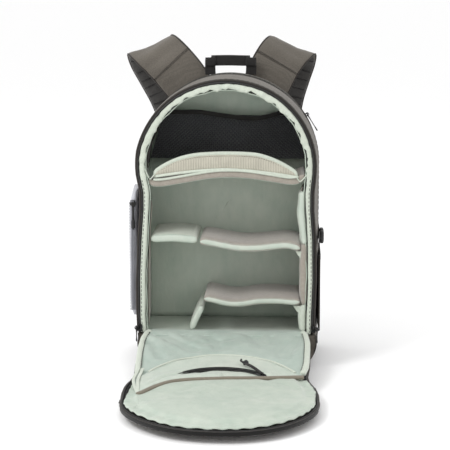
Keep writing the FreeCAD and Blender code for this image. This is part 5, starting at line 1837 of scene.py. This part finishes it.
def front_pocket():
    """Big zipped pocket on the dome's outside, under it while the bag is open."""
    b0, b1 = low("front_pocket"), high("front_pocket")
    centre_y = FOLD.y - (DOME_S - FOLD_S)
    reach = b1.x
    near = b1.y

    def outline(share, count=44):
        points = []
        for i in range(count + 1):
            a = math.pi - math.pi * i / count
            points.append((math.cos(a) * reach, centre_y - math.sin(a) * reach))
        corner = 0.016
        right = [(reach, near - corner), (reach - corner * 0.3, near - corner * 0.3),
                 (reach - corner, near)]
        back = [(x, near) for x in np.linspace(reach - corner * 1.6, -reach + corner * 1.6, 24)]
        left = [(-x, y) for x, y in reversed(right)]
        ring = points + right + back + left
        middle = (0.0, centre_y - 0.01)
        return [(middle[0] + (x - middle[0]) * share, middle[1] + (y - middle[1]) * share) for x, y in ring]

    rows = []
    depth = b1.z - b0.z - 0.0012
    for k in range(15):
        t = k / 14
        share = 1.0 if t < 0.04 else 1 - 0.98 * ((t - 0.04) / 0.96) ** 2.1
        height = (1 - (1 - min(t / 0.42, 1.0)) ** 2.2) ** 0.6
        rows.append([(x, y, b1.z + 0.001 - depth * height) for x, y in outline(share)])
    obj = piece("front_pocket_cover", *loft(rows), "outer_fabric", "outer_fabric", UPPER, ("front_pocket",))
    groove = (low("front_pocket_zip").y + high("front_pocket_zip").y) / 2
    rumple(obj, 0.0018, 0.05, 4, lambda p: 1.0 if p.z < b1.z - 0.004 else 0.0)
    floor = b0.z + 0.0009
    for vertex in obj.data.vertices:
        p = vertex.co
        if abs(p.x) < 0.092 and p.z < b1.z - 0.006:
            near_zip = (p.y - groove) / 0.0070
            p.z += 0.0030 * math.exp(-near_zip ** 4)
        p.z = max(p.z, floor)
    z = low("front_pocket_zip").z
    line = even_path([(-0.084, groove, z + 0.0022), (0.084, groove, z + 0.0022)], 0.004)
    strip("front_pocket_tape", line, (0.0048, 0.0006, 10, 5), (0, 0, -1), "zip_tape", "zip_tape", UPPER,
          ("front_pocket_zip",), ends=0.0005)
    for name, dy in (("near", 0.0012), ("far", -0.0012)):
        line = even_path([(-0.083, groove + dy, z + 0.0012), (0.083, groove + dy, z + 0.0012)], COIL_STEP)
        coil("front_pocket_coil_" + name, line, 0.0011, 0.0009, (0, 0, -1), UPPER)
    s0, s1 = low("front_pocket_slider"), high("front_pocket_slider")
    slider_body("front_pocket_slider_body", (s0 + s1) / 2 + Vector((0, 0, 0.0010)), Vector((1, 0, 0)),
                Vector((0, 0, -1)), (s1.x - s0.x) / 2, 0.0032, "front_pocket_slider",
                ("front_pocket_slider",), eye=False)


# ------------------------------------------------------------------ sliders and pulls


def slider_body(name, centre, along, out, half_length, half_width, body, nodes, eye=True, depth=0.0):
    """Zip slider: an hourglass plate with turned-down edges and a raised eye for the pull."""
    along, out = Vector(along).normalized(), Vector(out).normalized()
    side = out.cross(along)
    parts = []
    for level, thick, grow in ((0.0012, 0.0007, 1.0),) + (((-depth, 0.0006, 0.96),) if depth else ()):
        rows = []
        for t in np.linspace(-1, 1, 13):
            corner = 1 - 0.35 * max(0.0, abs(t) - 0.86) / 0.14
            width = half_width * grow * (0.80 + 0.20 * abs(t) ** 1.6) * corner
            rows.append([tuple(centre + along * (t * half_length) + side * (u * width)
                               + out * (level + v * thick)) for u, v in super_section(1, 1, 16, 4)])
        parts.append(loft(rows))
    if depth:
        rows = [[tuple(centre + along * u * half_length * 0.8 + side * v * 0.0007 + out * level)
                 for u, v in super_section(1, 1, 12, 4)] for level in (-depth, 0.0010)]
        parts.append(loft(rows))
    if eye:
        for sign in (-1, 1):
            arch = [centre + side * (sign * 0.0045) + along * a + out * o
                    for a, o in ((-0.0026, 0.0012), (-0.0020, 0.0038), (0.0, 0.0060), (0.0020, 0.0038),
                                 (0.0026, 0.0012))]
            parts.append(loft(sweep(smooth_path(arch, 4), super_section(0.0006, 0.0008, 8), tuple(side),
                                    ends=0.0005)))
        pin = [centre + side * u + out * 0.0049 for u in (-0.0047, 0.0, 0.0047)]
        parts.append(loft(sweep(pin, super_section(0.0009, 0.0009, 10), tuple(out), ends=0.0003)))
    return piece(name, *joined(parts), "slider_metal", "slider_metal", body, nodes)


def pull(name, body, node, pin, along, out, length, half_width, end_length=0.0, ring=0.0028):
    """Zip pull: a loop round the slider's pin, a tapered tab, and a moulded end if it has one."""
    along, out = Vector(along).normalized(), Vector(out).normalized()
    side = out.cross(along)
    turn = [pin + along * (math.cos(a) * ring) + out * (math.sin(a) * ring)
            for a in np.linspace(0, 2 * math.pi, 17)[:-1]]
    loop = sweep(turn, super_section(0.0028, 0.0006, 8, 3), [tuple(p - pin) for p in turn], loop=True)
    parts = [loft(loop, loop=True)]
    rows = []
    for t in np.linspace(0, 1, 22):
        d = ring * 0.8 + (length - ring * 0.8) * t
        tip = min(1.0, math.sqrt(max(1 - t, 0.0) / 0.06) + 0.3)
        width = half_width * (0.92 - 0.18 * math.sin(math.pi * t)) * tip
        thin = 0.0011 * (1 - 0.35 * math.exp(-((t - 0.5) / 0.28) ** 4))
        rows.append([tuple(pin + along * d + side * (u * width) + out * (v * thin))
                     for u, v in super_section(1, 1, 18, 4)])
    parts.append(loft(rows))
    finish = "webbing" if end_length else "slider_metal"
    obj = piece(name, *joined(parts), finish, finish, body, (node,))
    if end_length:
        rows = []
        for t in np.linspace(0, 1, 16):
            round_off = math.sqrt(max(1 - (2 * t - 1) ** 6, 0.02))
            grip = 1 + 0.06 * math.sin(t * math.pi * 8)
            rows.append([tuple(pin + along * (length - 0.002 + (end_length + 0.002) * t)
                               + side * (u * 0.0029 * round_off * grip)
                               + out * (v * 0.0025 * round_off * grip))
                         for u, v in super_section(1, 1, 18, 2.6)])
        piece(name + "_end", *loft(rows), "pull_end", "pull_end", body)
    return obj


def zips():
    """Every slider and pull on the bag."""
    for name, sign in (("right", 1), ("left", -1)):
        node = "zip_slider_" + name
        b0, b1 = low(node), high(node)
        out = Vector((sign, 0, 0))
        pin = pivot("main_pull_" + name)
        drawn_in = Vector((-sign * 0.0040, 0, 0))
        centre = Vector((pin.x - sign * 0.0049, pin.y, pin.z)) + drawn_in
        slider_body("u_zip_slider_" + name, centre, Vector((0, 0, -1)), out, (b1.z - b0.z) / 2, 0.0043,
                    "slider_" + name, (node,), depth=0.0042)
        pull("u_zip_pull_" + name, "pull_" + name, "zip_pull_" + name, pin + drawn_in, Vector((0, 0, -1)),
             out, 0.024, 0.0046)
    pin = pivot("laptop_pull")
    middle = Vector((0, pin.y, ARCH))
    out = (pin - middle).normalized()
    along = Vector((out.z, 0, -out.x))
    slider_body("laptop_slider_body", pin - out * 0.0049, along, out, 0.0060, 0.0050, "laptop_slider",
                ("laptop_zip_slider",), depth=0.0030)
    pull("laptop_pull_tab", "laptop_pull", "laptop_zip_pull", pin, along, out, 0.034, 0.0035)
    pin = pivot("side_pocket_pull")
    out, along = Vector((0, -1, 0)), Vector((0, 0, -1))
    slider_body("side_pocket_slider_body", pin - out * 0.0049, along, out, 0.0060, 0.0040, "side_slider",
                ("side_pocket_slider",))
    pull("side_pocket_pull_cord", "side_pull", "side_pocket_pull", pin, along, out, 0.028, 0.0018, 0.016)
    cord_pull()


def cord_pull():
    """The inner pocket's slider, and its pull: a loop of cord with a knot near its end."""
    pin = pivot("inner_pocket_pull")
    p0, p1 = low("inner_pocket_pull"), high("inner_pocket_pull")
    x = pin.x * ZIP_RADIUS / 0.140
    face = ZIP_FACE.normalized()
    seat = Vector(zip_slope(x)) + face * 0.0016
    ahead = (Vector(zip_slope(x + 0.004)) - Vector(zip_slope(x - 0.004))).normalized()
    slider_body("inner_slider_body", seat, ahead, face, 0.0062, 0.0044, "inner_slider",
                ("inner_pocket_slider",), eye=False)
    lead = Vector((p0.x + 0.0035 - pin.x, 0, 0)) + DOWN * -((p1.y - 0.003 - pin.y) / abs(DOWN.y))
    lead = lead.normalized()
    over = RISE.cross(lead)
    start = seat + face * 0.0030

    def rise(d):
        return 0.0020 + 0.0030 * math.sin(min(d / 0.040, 1.0) * math.pi)

    parts = []
    for shift in (-0.0014, 0.0014):
        run = [start + lead * d + RISE * rise(d) + over * (shift + 0.0020 * math.sin(d / 0.042 * math.pi))
               for d in np.linspace(-0.004, 0.044, 18)]
        parts.append(loft(sweep(run, super_section(0.0015, 0.0015, 10), tuple(RISE), ends=0.001)))
    piece("inner_pull_cord", *joined(parts), "webbing", "webbing", "inner_pull", ("inner_pocket_pull",))
    middle = start + lead * 0.040 + RISE * 0.0022
    knot = []
    for i in range(60):
        a = 2 * math.pi * i / 60
        knot.append(middle + lead * ((math.sin(a) + 2 * math.sin(2 * a)) * 0.0016)
                    + over * ((math.cos(a) - 2 * math.cos(2 * a)) * 0.0015)
                    + RISE * (0.0012 - 0.0014 * math.sin(3 * a)))
    strip("inner_pull_knot", knot, (0.0017, 0.0017, 10), tuple(RISE), "pull_end", "pull_end", "inner_pull",
          loop=True)
    tail = smooth_path([middle + lead * 0.003, middle + lead * 0.009 + over * 0.002 + RISE * 0.0015,
                        middle + lead * 0.0135 - over * 0.002 + RISE * 0.001], 6)
    strip("inner_pull_tail", tail, (0.0016, 0.0016, 10), tuple(RISE), "pull_end", "pull_end", "inner_pull",
          ends=0.001)


# ------------------------------------------------------------------ build everything


gusset()
laptop_opening()
rim()
binding()
base()
back_panel()
lining()
dividers()
shelf()
mesh_pocket()
walls()
back_padding()
shoulder_strap(1)
shoulder_strap(-1)
lower_anchors()
grab_handle()
side_pocket()
bottle_pocket()
buckle()
lower_lining()
hinge_hem()
edge_rolls()
pocket_edge()
dome_lining()
dome_seam()
panel_shell()
front_pocket()
zips()

frame["nodes"]["frame_sheet"].data.materials.clear()
frame["nodes"]["frame_sheet"].data.materials.append(MAT["frame_plastic"])


# ------------------------------------------------------------------ floor, light and camera


floor_mesh = bpy.data.meshes.new("floor")
floor_mesh.from_pydata([(-60, -60, 0), (60, -60, 0), (60, 60, 0), (-60, 60, 0)], [], [(0, 1, 2, 3)])
floor = bpy.data.objects.new("floor", floor_mesh)
bpy.context.scene.collection.objects.link(floor)
paper = Paint("white_paper", roughness=0.9, specular=0.1)
paper.shader.inputs["Base Color"].default_value = (0.99, 0.99, 0.99, 1)
floor_mesh.materials.append(paper.material)

world = bpy.data.worlds.new("studio")
world.use_nodes = True
world.node_tree.nodes["Background"].inputs["Color"].default_value = (1.0, 1.0, 1.0, 1)
world.node_tree.nodes["Background"].inputs["Strength"].default_value = 1.0
bpy.context.scene.world = world


def softbox(name, place, aim, size, power):
    """A soft square light."""
    light = bpy.data.lights.new(name, "AREA")
    light.shape = "SQUARE"
    light.size = size
    light.energy = power
    obj = bpy.data.objects.new(name, light)
    obj.location = place
    obj.rotation_euler = (Vector(aim) - Vector(place)).to_track_quat("-Z", "Y").to_euler()
    bpy.context.scene.collection.objects.link(obj)


softbox("key", (-1.5, -1.3, 2.2), (0.0, -0.15, 0.2), 0.9, 26)
softbox("top", (-0.2, 0.5, 2.4), (0.0, -0.1, 0.2), 1.2, 6)

camera_data = bpy.data.cameras.new("camera")
camera_data.lens = 123.8
camera_data.sensor_width = 36
camera = bpy.data.objects.new("camera", camera_data)
turn, distance, height = math.radians(2.433), 2.6583, 0.6836
look_down, look_aside = math.radians(90 - 9.648), math.radians(2.433 + 0.140)
camera.location = (math.sin(turn) * distance, -math.cos(turn) * distance, height)
camera.rotation_euler = (look_down, 0, look_aside)
bpy.context.scene.collection.objects.link(camera)
bpy.context.scene.camera = camera
bpy.context.scene.view_settings.view_transform = "Standard"
